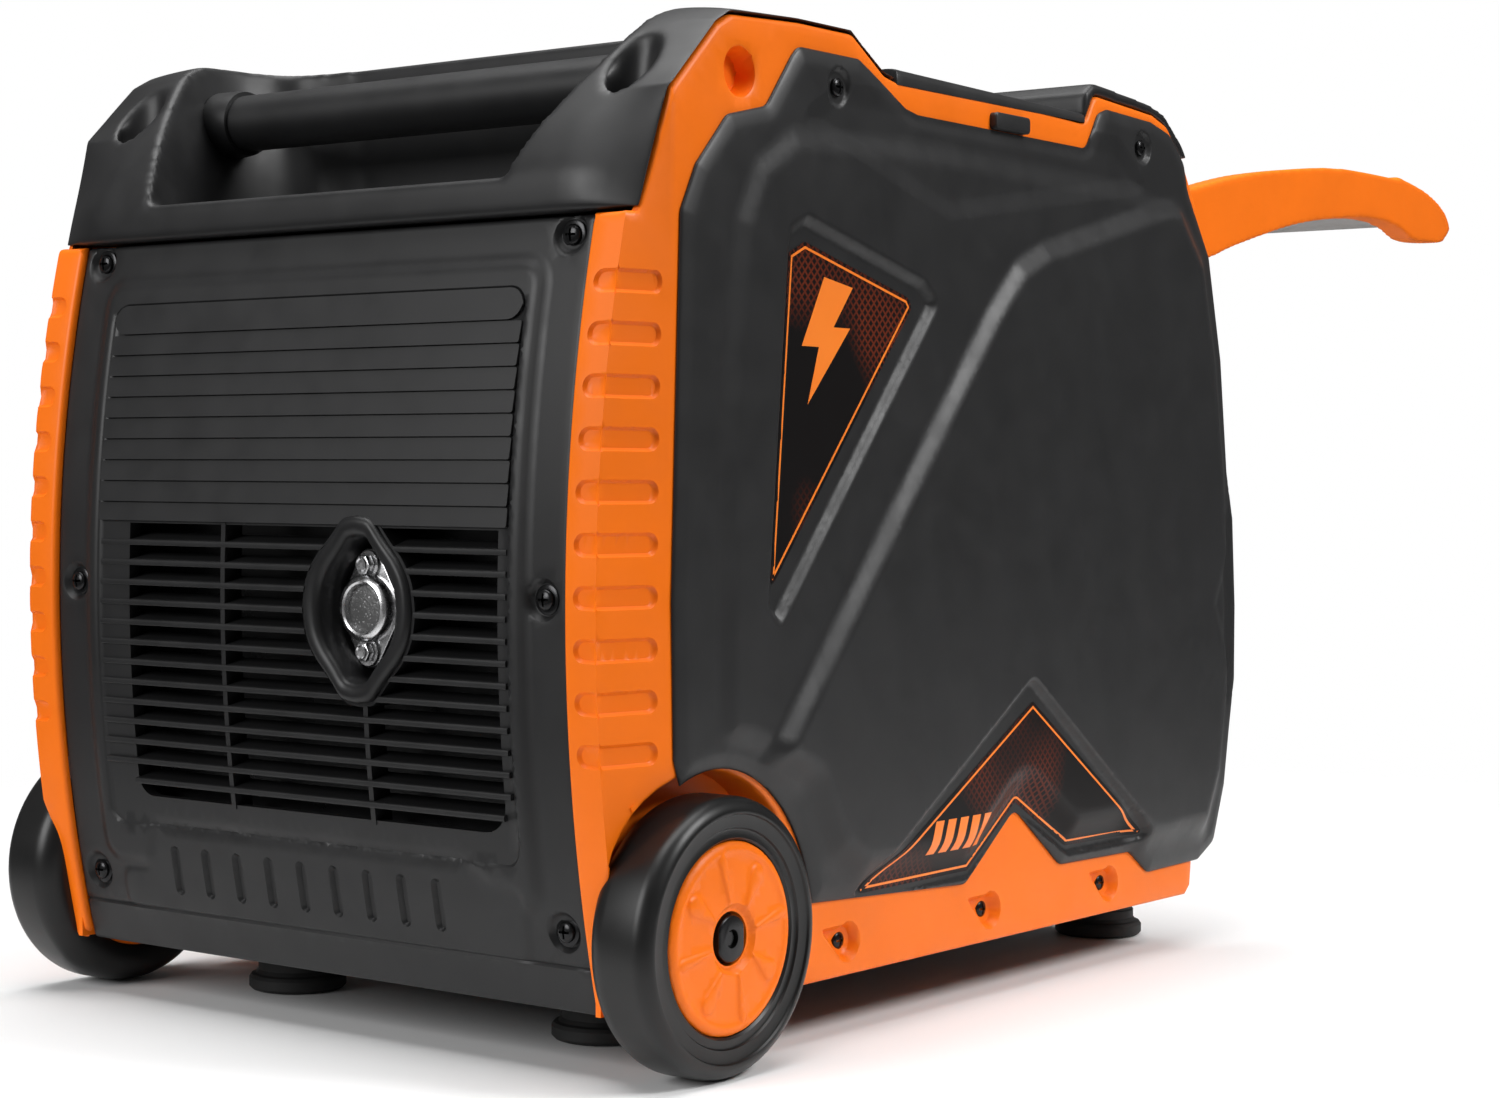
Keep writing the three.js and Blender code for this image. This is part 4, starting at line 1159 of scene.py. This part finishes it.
def rear_cap():
    """The control-end cap, whose brow overhangs the control panel."""
    seam = [(y, z + GAP) for y, z in cap_seam()[10:]]
    silhouette = [(F(61), T(34)), (F(67), T(27)), (F(89), T(11)), (F(108), T(7)), (F(169), T(2)),
                  (F(179), T(9))]
    across = prism("rear_across", [seam + silhouette], -FRAME_HALF, FRAME_HALF, "x")
    brow = prism("rear_brow", [[(F(179), T(26) + GAP), (F(44), T(70)), (F(40), T(70)), (F(61), T(34))]
                               + silhouette[1:]], -168.0, 168.0, "x")
    fuse(across, brow)
    scoop = round_rect(-120, 120, F(164), F(114), 16)
    cut(across, loft("rear_scoop", [[(x, y, T(8.5)) for x, y in inset_loop(scoop, 5)],
                                    [(x, y, T(-8)) for x, y in scoop]]))
    soften(across, 2.0, 7, 42000)
    dress(across, CAP_BLACK, ["top_cap_control_end"], crease=60)


def fuel_cap():
    """The filler cap: scalloped skirt, domed top with a raised grip bar, and its ring below."""
    y, radius = cap_spot()
    low, high = box_mm("fuel_cap")
    sections = []
    top = high[2]
    profile = [(0.95, low[2]), (1.0, low[2] + 1), (1.0, top - 4.5), (0.965, top - 1.8), (0.9, top - 0.5),
               (0.83, top), (0.74, top - 0.1), (0.70, top - 1.6), (0.2, top - 1.6)]
    for share, z in profile:
        ring = []
        for i in range(144):
            t = 2 * math.pi * i / 144
            flute = 0.055 * max(0.0, math.cos(12 * t)) ** 2 * (1 if share > 0.93 else 0)
            r = radius * share * (1 - flute)
            ring.append((r * math.cos(t), y + r * math.sin(t), z))
        sections.append(ring)
    cap = loft("filler", sections)
    grip = prism("filler_grip", [round_rect(-23, 23, y - 5, y + 5, 4.5)], top - 2, top - 0.2, "z")
    bevel(grip, 0.7, 2)
    dress(merge("filler_cap", [cap, grip]), SMOOTH_BLACK, ["fuel_cap"], crease=35, body="fuel_lid")


# ------------------------------------------------------------------ wheels
def wheel(label, side):
    """A smooth solid tyre with stepped sidewalls, a domed hub with faint ribs, and its nut."""
    centre = middle(f"tyre_{label}")
    half = (WHEEL_FACE - WHEEL_BACK) / 2
    r = WHEEL_RADIUS
    profile = [(45.3, -half + 1.5), (48, -half), (r - 13, -half)]
    profile += arc(r - 13, -half + 13, 13, 270, 360, 9)
    profile += arc(r - 8.5, half - 8.5, 8.5, 0, 78, 8)
    profile += [(57.6, half - 0.4), (57.0, half - 1.4), (56.2, half - 1.6), (51.0, half - 1.9),
                (50.4, half - 3.0), (49.6, half - 3.2), (46.4, half - 2.6), (45.3, half - 3.6)]
    tyre = lathe(f"tyre_{label}_rubber", profile, centre, "x", 120, side)
    dress(tyre, TYRE, [f"tyre_{label}"], crease=40, body=f"wheel_{label}")
    hub(label, side, centre, half)


def hub(label, side, centre, half):
    """Hub disc: a dished face whose eight faint spokes flare out to round ends."""
    rim, bore = 45.0, 12.6
    spokes = []
    for k in range(8):
        t = math.radians(45 * k + 12)
        ahead, across = np.array([math.cos(t), math.sin(t)]), np.array([-math.sin(t), math.cos(t)])
        reach, wide = (33.0, 5.6) if k % 2 else (37.0, 3.4)
        loop = [ahead * 16 + across * 1.2, ahead * reach + across * wide]
        loop += [ahead * (reach + wide * math.cos(u)) + across * wide * math.sin(u)
                 for u in np.radians((60, 30, 0, -30, -60))]
        loop += [ahead * reach - across * wide, ahead * 16 - across * 1.2]
        spokes.append([tuple(q) for q in loop])

    def face(p):
        r = np.linalg.norm(p, axis=1)
        h = half - 2.6 + 1.6 * (1 - (r / rim) ** 2) - rounding(rim - r, 2.0)
        h += 0.9 * ramp(r - 38.5, 2.0) - 0.9 * ramp(r - 42, 2.0)
        for spoke in spokes:
            h += 1.1 * ramp(signed(p, spoke), 1.4)
        h -= 2.4 * ramp(16.5 - r, 2.5)
        return flat(p, side * h, "x") + centre

    def back(p):
        return flat(p, -side * (half - 2), "x") + centre

    extra = [around(s, (0, 0.7, 1.4), 2.0) for s in spokes]
    extra += [rings_of((0, 0), (14, 15.2, 16.5, 38.5, 39.5, 40.5, 42, 43, 44), 72)]
    disc = slab(f"hub_{label}_disc", [circle(0, 0, rim, 96), circle(0, 0, bore, 48)], face, back, 4.0,
                rings=(0.5, 1.2), extra=extra, step=3.0)
    dress(disc, ORANGE, [f"hub_{label}"], crease=45, body=f"wheel_{label}")
    axle_nut(label, side, centre)


def axle_nut(label, side, centre):
    low, high = box_mm(f"axle_nut_{label}")
    outer, inner = (high[0], low[0]) if side > 0 else (low[0], high[0])
    _, y, z = centre
    flats = [(np.clip(a, y - 9.4, y + 9.4), b) for a, b in circle(y, z, 11.0, 40)]
    nut = bevel(prism(f"nut_{label}_body", [flats], *sorted((inner, outer)), "x"), 1.2, 3)
    face = abs(outer)
    cut(nut, plate("bore", [circle(y, z, 4.4, 24)], side, face - 3.4, face + 1))
    hexagon = plate("key", [circle(y, z, 3.5, 6)], side, face - 3.2, face - 1.6)
    ring = lathe(f"nut_{label}_ring", [(9.5, 0), (12.4, 0), (12.4, 1.0), (11.8, 1.6), (9.5, 1.6)],
                 (outer - side * 7.6, y, z), "x", 40, side)
    obj = merge(f"nut_{label}", [nut, hexagon, ring])
    dress(obj, BLACK_SCREW, [f"axle_nut_{label}"])


# ------------------------------------------------------------------ pull handle
def from_pivot(points):
    return [(PIVOT[1] + a, PIVOT[2] + b) for a, b in points]


def handle_half(label, side, outer, thick):
    """One arm's side view, relative to the pivot."""
    root = arc(0, 0, 22, 100, 290, 16)
    under = spline([root[-1], (51, -13), (86, -3), (168, 16), (240, 25.5), (288, 28), (322, 25), (350, 18),
                    (396, 20)], 5)[1:]
    over = spline([(408, 30), (399, 41), (371, 52), (319, 58), (233, 57.5), (167, 51.5), (92, 41), (30, 28),
                   root[0]], 5)[:-1]
    arm = plate(f"arm_{label}", [from_pivot(root + under + over)], side, outer - thick, outer)
    hole = plate("pin_hole", [circle(PIVOT[1], PIVOT[2], 6.6, 28)], side, outer - thick - 2, outer + 2)
    return cut(arm, hole)


def pull_handle():
    outer, thick = box_mm("pull_handle")[1][0], 16.5
    right, left = (handle_half(label, side, outer, thick) for label, side in SIDES)
    grip = spline([(318, 45), (345, 40), (384, 36), (400, 36)], 5)
    grip += spline([(397, 41), (369, 53), (322, 60.5)], 5)
    fuse(right, left, prism("grip_bar", [from_pivot(grip)], -outer + 1, outer - 1, "x"))
    soften(right, 1.8, 7, 52000)
    dress(right, ORANGE, ["pull_handle"], crease=60, body="handle")
    strip = from_pivot(((330, 37), (386, 32), (388, 38), (332, 44)))
    insert = prism("handle_insert", [strip], -outer + 16, outer - 16, "x")
    dress(bevel(insert, 0.6, 2), GREY, body="handle")
    for label, side in SIDES:
        pin(label, side)


def pin(label, side):
    low, high = box_mm(f"handle_pin_{label}")
    inner, far = (low[0], high[0]) if side > 0 else (high[0], low[0])
    length = abs(far - inner)
    shank = lathe(f"pin_{label}", [(0.01, 2.2), (5.9, 2.2), (5.9, length), (0.01, length)],
                  (inner, PIVOT[1], PIVOT[2]), "x", 32, side)
    profile = [(0.01, -1.6), (4.5, -1.6), (8.2, -0.2), (8.8, 1.2), (8.8, 1.9), (0.01, 1.9)]
    cap = lathe(f"pin_{label}_head", profile, (inner, PIVOT[1], PIVOT[2]), "x", 32, side)
    dress(merge(f"handle_pivot_{label}", [shank, cap]), STEEL,
          [f"handle_pin_{label}"])


# ------------------------------------------------------------------ feet and tray
def feet():
    for end in ("exhaust", "control"):
        for label, _ in SIDES:
            node = f"foot_{end}_{label}"
            top = box_mm(node)[1][2]
            centre = middle(node)
            profile = [(8.0, top), (8.0, 4.0), (6, 2.5), (5, 0.05), (12, 0.0), (24.5, 0.0), (26, 1.6),
                       (26, 6.2), (24.8, 7.9), (22.6, 8.6), (21.2, 10.5), (21.2, 15), (20.4, 15.6),
                       (20.4, 17.4), (21.2, 18), (21.6, top)]
            foot = lathe(f"{node}_rubber", profile, (centre[0], centre[1], 0), "z", 56)
            dress(foot, FOOT, [node], crease=35)


def base_tray():
    low, high = box_mm("base_tray")
    outline = round_rect(low[0], high[0], low[1], high[1], 12)
    ribs = [round_rect(low[0] + 14 + 46 * k, low[0] + 44 + 46 * k, low[1] + 120, high[1] - 70, 10)
            for k in range(7)]

    def under(p):
        z = low[2] + rounding(distance(p, outline), 3.0)
        for rib in ribs:
            z = z + 2.4 * ramp(signed(p, rib), 3.0)
        return flat(p, z, "z")

    obj = slab("tray", [outline], under, lambda p: flat(p, high[2], "z"), 18.0,
               extra=[around(r, (0, 1.5, 3), 6.0) for r in ribs])
    dress(obj, CAP_BLACK, ["base_tray"], crease=40)


# ------------------------------------------------------------------ control end
def refined(node, name, body, material, width):
    """A CAD node's own shape with its edges rounded."""
    obj = bevel(copy_of(node, name), width, 2, 35)
    return dress(obj, material, [node], crease=40, body=body)


def on_panel(name, loops, low, high):
    """Flat shapes carried between two distances from the control panel's face."""
    return prism(name, loops, PANEL_FACE + low, PANEL_FACE + high, "y")


def turned(name, profile, x, z, sides=40):
    """A profile turned about a line square to the control panel."""
    return lathe(name, profile, (x, PANEL_FACE, z), "y", sides)


def fitting(node):
    """Middle, radius and back of a fitting on the control panel, with its box."""
    low, high = box_mm(node)
    return (low[0] + high[0]) / 2, (low[2] + high[2]) / 2, (high[0] - low[0]) / 2, low, high


PANEL_BORDERS = ((-132, -24, B(118), B(212)), (-128, -28, B(274), B(326)), (-16, 52, B(126), B(204)),
                 (-14, 150, B(262), B(338)), (4, 152, B(210), B(247)))


def control_panel():
    panel = bevel(copy_of("control_panel", "control_fascia"), 0.8, 2, 40)
    dress(panel, CAP_BLACK, ["control_panel"], crease=40)
    wide = 2.2
    raised = []
    for k, (a, b, c, d) in enumerate(PANEL_BORDERS):
        loops = [round_rect(a, b, c, d, 6), round_rect(a + wide, b - wide, c + wide, d - wide, 4.5)]
        raised.append(bevel(on_panel(f"border_{k}", loops, -0.5, 1.4), 0.5, 2))
    dress(merge("panel_borders", raised), ORANGE)
    spots = [((x, PANEL_FACE - 0.2, z), (0, 1, 0)) for x in (-156, 156) for z in (B(28), B(200), B(380))]
    screws("fascia_screws", spots, radius=4.4)
    vents = []
    for k in range(7):
        slat = round_rect(-120, 120, B(36 + 9 * k), B(40.5 + 9 * k), 2)
        vents.append(bevel(on_panel(f"vent_{k}", [slat], -0.4, 1.6), 0.5, 2))
    dress(merge("panel_louvres", vents), CAP_BLACK)


def slot_box(x, z, wide, tall):
    return on_panel("slot", [centred(x, z, wide, tall, min(wide, tall) * 0.2)], -9, 9)


def duplex(node, name):
    """A duplex outlet: a cover with two round-sided faces, each with two slots and an earth hole."""
    x, z, _, low, high = fitting(node)
    body = prism(name, [round_rect(low[0], high[0], low[2], high[2], 3)], low[1], PANEL_FACE + 0.8, "y")
    bevel(body, 0.6, 2)
    for level in (z + 16.5, z - 16.5):
        face = [(np.clip(a, x - 13.6, x + 13.6), np.clip(b, level - 12, level + 12))
                for a, b in circle(x, level, 14.8, 36)]
        puck = bevel(on_panel("puck", [face], -2, 3), 0.7, 2)
        earth = on_panel("earth", [circle(x, level - 6.5, 2.7, 20)], -9, 9)
        fuse(body, puck)
        cut(body, slot_box(x - 6.3, level + 3, 2.2, 8.4), slot_box(x + 6.3, level + 3, 2.2, 7.0), earth)
    dress(body, SOCKET, [node], crease=40)


def twist_lock():
    x, z, radius, _, _ = fitting("outlet_twist_lock")
    profile = [(0.01, -20), (radius, -20), (radius, 2.0), (radius - 1.6, 3.6), (radius - 4, 3.6),
               (radius - 5.5, 1.2), (20.0, 1.2), (19.0, 4.4), (17.6, 5.2), (0.01, 5.2)]
    body = turned("lock_outlet", profile, x, z, 64)
    holes = []
    for start in (70, 190, 310):
        loop = arc(x, z, 13.2, start, start + 42, 8) + arc(x, z, 10.6, start + 42, start, 8)
        holes.append(on_panel("curved_slot", [loop], -6, 9))
    cut(body, *holes, on_panel("centre_hole", [circle(x, z, 2.6, 20)], -6, 9))
    dress(body, SOCKET, ["outlet_twist_lock"], crease=40)


def dc_outlet():
    x, z, radius, low, _ = fitting("dc_socket")
    back = low[1] - PANEL_FACE
    profile = [(10.5, back + 4), (10.5, 2.4), (11.4, 3.4), (radius - 1, 3.4), (radius, 2.2),
               (radius, back), (0.01, back), (0.01, back + 4)]
    dress(turned("dc_outlet", profile, x, z, 48), SOCKET, ["dc_socket"], crease=40)
    profile = [(9.9, back + 5), (9.9, -1), (10.4, -1), (10.4, back + 5)]
    dress(turned("dc_liner", profile, x, z), STEEL)


def display():
    """A bezel, its glass and four generic figures made of strokes."""
    _, mid, _, low, high = fitting("data_display")

    def border(inset, radius):
        return round_rect(low[0] + inset, high[0] - inset, low[2] + inset, high[2] - inset, radius)

    bezel = prism("display_bezel", [border(0, 4), border(6, 2)], low[1], PANEL_FACE + 2.0, "y")
    dress(bevel(bezel, 0.7, 2), SOCKET, ["data_display"])
    dress(on_panel("display_glass", [border(5.8, 2)], -6, 0.2), SCREEN)
    strokes = []
    for k in range(4):
        x = low[0] + 50 - 13 * k + (6 if k < 2 else 3)
        bars = [(x, x + 6, c - 0.5, c + 0.5) for c in (mid + 8, mid, mid - 8)]
        bars += [(x + dx, x + dx + 0.9, c - 3, c + 3) for dx in (-0.9, 6.1) for c in (mid + 4, mid - 4)]
        strokes += [on_panel("stroke", [round_rect(*bar, 0.4)], 0.15, 0.4) for bar in bars]
    dress(merge("display_digits", strokes), GLOW)


def usb():
    x, z, _, low, high = fitting("usb_module")
    outline = round_rect(low[0], high[0], low[2], high[2], 3)
    body = prism("usb_body", [outline], low[1], PANEL_FACE + 1.5, "y")
    bevel(body, 0.6, 2)
    cut(body, slot_box(x - 9, z, 13.0, 5.4), slot_box(x + 9, z, 13.0, 5.4))
    dress(body, SOCKET, ["usb_module"])
    tongues = [on_panel("tongue", [round_rect(x + dx - 5, x + dx + 5, z + 0.2, z + 2.0, 0.3)], -8, -0.6)
               for dx in (-9, 9)]
    dress(merge("usb_tongues", tongues), PRINT)


def knob():
    """The engine switch: a ribbed dial with a bar grip and a pointer line, over a printed scale."""
    x, z, radius, _, _ = fitting("engine_switch_dial")

    def level(out, shrink):
        ring = []
        for i in range(120):
            t, r = 2 * math.pi * i / 120, radius - 0.9 * (i % 4 < 2) - shrink
            ring.append((x + r * math.cos(t), PANEL_FACE + out, z + r * math.sin(t)))
        return ring

    skirt = loft("dial_skirt", [level(0.6, 0), level(5.6, 0.3), level(7, 2.0)])
    bar = on_panel("dial_bar", [round_rect(x - 4.5, x + 4.5, z - radius + 2, z + radius - 2, 4)], 6, 15)
    bevel(bar, 1.6, 3)
    dress(merge("engine_dial_knob", [skirt, bar]), RED, ["engine_switch_dial"], crease=35,
          body="engine_dial")
    line = on_panel("dial_pointer", [round_rect(x - 0.9, x + 0.9, z + 4, z + radius - 4, 0.6)], 14.8, 15.25)
    dress(line, PRINT, body="engine_dial")
    marks = []
    near, far, half = radius + 3.0, radius + 7.0, 0.8
    for k in range(7):
        t = math.radians(-15 + 30 * k)
        c, s = math.cos(t), math.sin(t)
        loop = [(x + reach * c - w * s, z + reach * s + w * c)
                for reach, w in ((near, half), (far, half), (far, -half), (near, -half))]
        marks.append(on_panel("mark", [loop], -0.1, 0.3))
    dress(merge("dial_scale", marks), PRINT)


def button(node, name, body, material):
    x, z, radius, _, high = fitting(node)
    tip = high[1] - PANEL_FACE
    shank = radius - 0.4
    profile = [(0.01, -13), (shank, -13), (shank, tip - 1.4), (radius - 1.0, tip - 0.4),
               (radius - 2.2, tip), (0.01, tip - 0.7)]
    dress(turned(name, profile, x, z), material, [node], crease=40, body=body)
    inner, outer = radius + 0.9, radius + 4.0
    profile = [(inner, -0.2), (outer, -0.2), (outer, 0.9), (radius + 2.8, 1.7), (inner, 1.7)]
    dress(turned(f"{name}_ring", profile, x, z), STEEL)


def ground():
    x, z, _, _, _ = fitting("ground_terminal")
    stud = turned("ground_stud", [(0.01, -12), (3.4, -12), (3.4, 11), (2.4, 12), (0.01, 12)], x, z, 28)
    nut = bevel(on_panel("ground_nut", [circle(x, z, 8.4, 6)], 2.2, 7), 0.7, 3)
    disc = turned("ground_washer", [(3.5, 0.4), (10.5, 0.4), (10.8, 1.4), (10.2, 2.1), (3.5, 2.1)], x, z)
    dress(merge("ground_post", [stud, nut, disc]), STEEL, ["ground_terminal"])


def control_end():
    control_panel()
    duplex("outlet_duplex_left", "duplex_left")
    duplex("outlet_duplex_right", "duplex_right")
    twist_lock()
    dc_outlet()
    display()
    usb()
    knob()
    button("start_button", "start_knob", "start", RED)
    button("breaker_button", "breaker_knob", "breaker", SOCKET)
    refined("eco_rocker", "eco_switch", "eco", RED, 0.6)
    ground()


# ------------------------------------------------------------------ recoil grip on the left side
def recoil():
    """The T grip in its pocket, with the dished floor behind it."""
    y, z = GRIP_SPOT
    low, high = box_mm("recoil_grip")
    outer = low[0]
    bar = prism("grip_t", [centred(y, z, 68, 22, 10)], outer, outer + 18, "x")
    bevel(bar, 5.0, 4, 40)
    profile = [(0.01, 0), (8.4, 0), (7.0, 6), (6.2, 14), (0.01, 14)]
    stem = lathe("grip_stem", profile, (outer + 15, y, z), "x", 32)
    start = 28.5
    length = high[0] - outer - start
    profile = [(0.01, 0), (2.5, 0), (2.5, length), (0.01, length)]
    rope = lathe("grip_rope", profile, (outer + start, y, z), "x", 16)
    dress(merge("recoil_pull_grip", [bar, stem, rope]), SMOOTH_BLACK, ["recoil_grip"], body="pull_grip")
    rim = inset_loop(GRIP_POCKET, 0.5)

    def front(p):
        return flat(p, -(FRAME_HALF + 3.4) + 6.2 * ramp(distance(p, rim), 13), "x")

    sunk = slab("grip_dish", [rim, circle(y, z, 9.4, 32)], front, lambda p: front(p) + (3.0, 0, 0), 5.0)
    dress(sunk, SMOOTH_BLACK, crease=50)
    ferrule = lathe("grip_ferrule", [(9.0, -2), (12.5, -2), (12.5, 0.4), (11.0, 1.6), (9.0, 1.6)],
                    (-(FRAME_HALF - 2.6), y, z), "x", 40, -1)
    dress(ferrule, SMOOTH_BLACK)


# ------------------------------------------------------------------ inside the set
MOUNTS = [f"engine_mount_{end}_{label}" for end in ("exhaust", "control") for label, _ in SIDES]
INSIDE = {
    "axle": (DARK_STEEL, 0.8), "muffler": (DARK_STEEL, 1.5), "fuel_tank": (TANK, 4.0),
    "crankcase": (CAST, 3.0), "cylinder_head": (CAST, 0.6), "spark_plug": (SOCKET, 0.6),
    "carburettor": (CAST, 2.0), "air_cleaner": (SOCKET, 3.0), "stator": (DARK_STEEL, 1.0),
    "fan_shroud": (CAP_BLACK, 1.0), "recoil_starter": (CAP_BLACK, 2.0), "inverter_module": (CAST, 1.0),
    "battery": (SOCKET, 2.0), **{node: (FOOT, 1.0) for node in MOUNTS},
}
TURNING = {"crankshaft": (STEEL, 0.8), "flywheel_rotor": (CAST, 0.8)}


def inner_works():
    for nodes, body in ((INSIDE, "chassis"), (TURNING, "crank")):
        for node, (material, width) in nodes.items():
            refined(node, f"{node}_body", body, material, width)


# ------------------------------------------------------------------ studio
def studio():
    camera = add("camera", bpy.data.cameras.new("camera"))
    bpy.context.scene.camera = camera
    camera.location = (1.00301, -1.41584, 0.27746)
    yaw, pitch, roll = math.radians(37.2219), math.radians(1.3133), math.radians(0.2914)
    ahead = Vector((-math.sin(yaw) * math.cos(pitch), math.cos(yaw) * math.cos(pitch), -math.sin(pitch)))
    level = Vector((math.cos(yaw), math.sin(yaw), 0))
    above = level.cross(ahead)
    right = level * math.cos(roll) + above * math.sin(roll)
    up = above * math.cos(roll) - level * math.sin(roll)
    camera.rotation_mode = "QUATERNION"
    camera.rotation_quaternion = Matrix((right, up, -ahead)).transposed().to_quaternion()
    camera.data.lens = 67.28
    camera.data.sensor_width = 36.0
    camera.data.shift_x, camera.data.shift_y = -0.003845, -0.00586
    camera.data.clip_start, camera.data.clip_end = 0.05, 50


def soft_light(name, where_at, aim, size, power):
    light = bpy.data.lights.new(name, "AREA")
    light.shape, light.size, light.size_y = "RECTANGLE", size, size
    light.energy = power
    obj = add(name, light)
    obj.location = where_at
    obj.rotation_mode = "QUATERNION"
    obj.rotation_quaternion = (Vector(aim) - Vector(where_at)).to_track_quat("-Z", "Y")


def floor():
    """A pale floor that catches the shadow and fades out into the backdrop."""
    mesh = bpy.data.meshes.new("floor")
    reach = 14.0
    corners = [(-reach, -reach, 0), (reach, -reach, 0), (reach, reach, 0), (-reach, reach, 0)]
    mesh.from_pydata(corners, [], [(0, 1, 2, 3)])
    obj = add("floor", mesh)
    obj.location.z = -0.0006
    material, tree, bsdf = shader("studio_floor")
    out = make(tree, "VectorMath", {0: where(tree)}, operation="LENGTH").outputs["Value"]
    feed(tree, bsdf, {
        "Base Color": tint(tree, noise(tree, 3.0, 3.0), (0.9, 0.9, 0.9), (0.92, 0.92, 0.92)),
        "Roughness": 0.55,
        "Specular IOR Level": 0.2,
        "Alpha": spread(tree, out, 1.0, 0.0, 0.48, 1.05)})
    mesh.materials.append(material)


def lights():
    """A white backdrop that lights the set only faintly, and three soft boxes."""
    world = bpy.data.worlds.new("studio")
    bpy.context.scene.world = world
    world.use_nodes = True
    tree = world.node_tree
    camera_ray = make(tree, "LightPath", {}).outputs["Is Camera Ray"]
    strength = spread(tree, camera_ray, 0.12, 1.0, 0.0, 1.0)
    feed(tree, tree.nodes["Background"], {"Color": (1, 1, 1, 1), "Strength": strength})
    bpy.context.scene.view_settings.view_transform = "Standard"
    soft_light("top", (-0.1, -0.3, 2.7), (0, 0, 0.2), 2.4, 96)
    soft_light("right_key", (2.1, 0.5, 1.95), (0.2, -0.05, 0.25), 0.9, 52)
    soft_light("front_fill", (-0.6, -2.6, 1.2), (0, 0, 0.25), 1.2, 38)


# ------------------------------------------------------------------ the set, piece by piece
studio()
floor()
lights()
for side_label, side_sign in SIDES:
    side_frame(side_label, side_sign)
    side_cover(side_label, side_sign)
    wheel(side_label, side_sign)
exhaust_panel()
collar()
arrestor()
front_cap()
grab_tube()
top_deck()
rear_cap()
fuel_cap()
feet()
base_tray()
control_end()
recoil()
pull_handle()
inner_works()
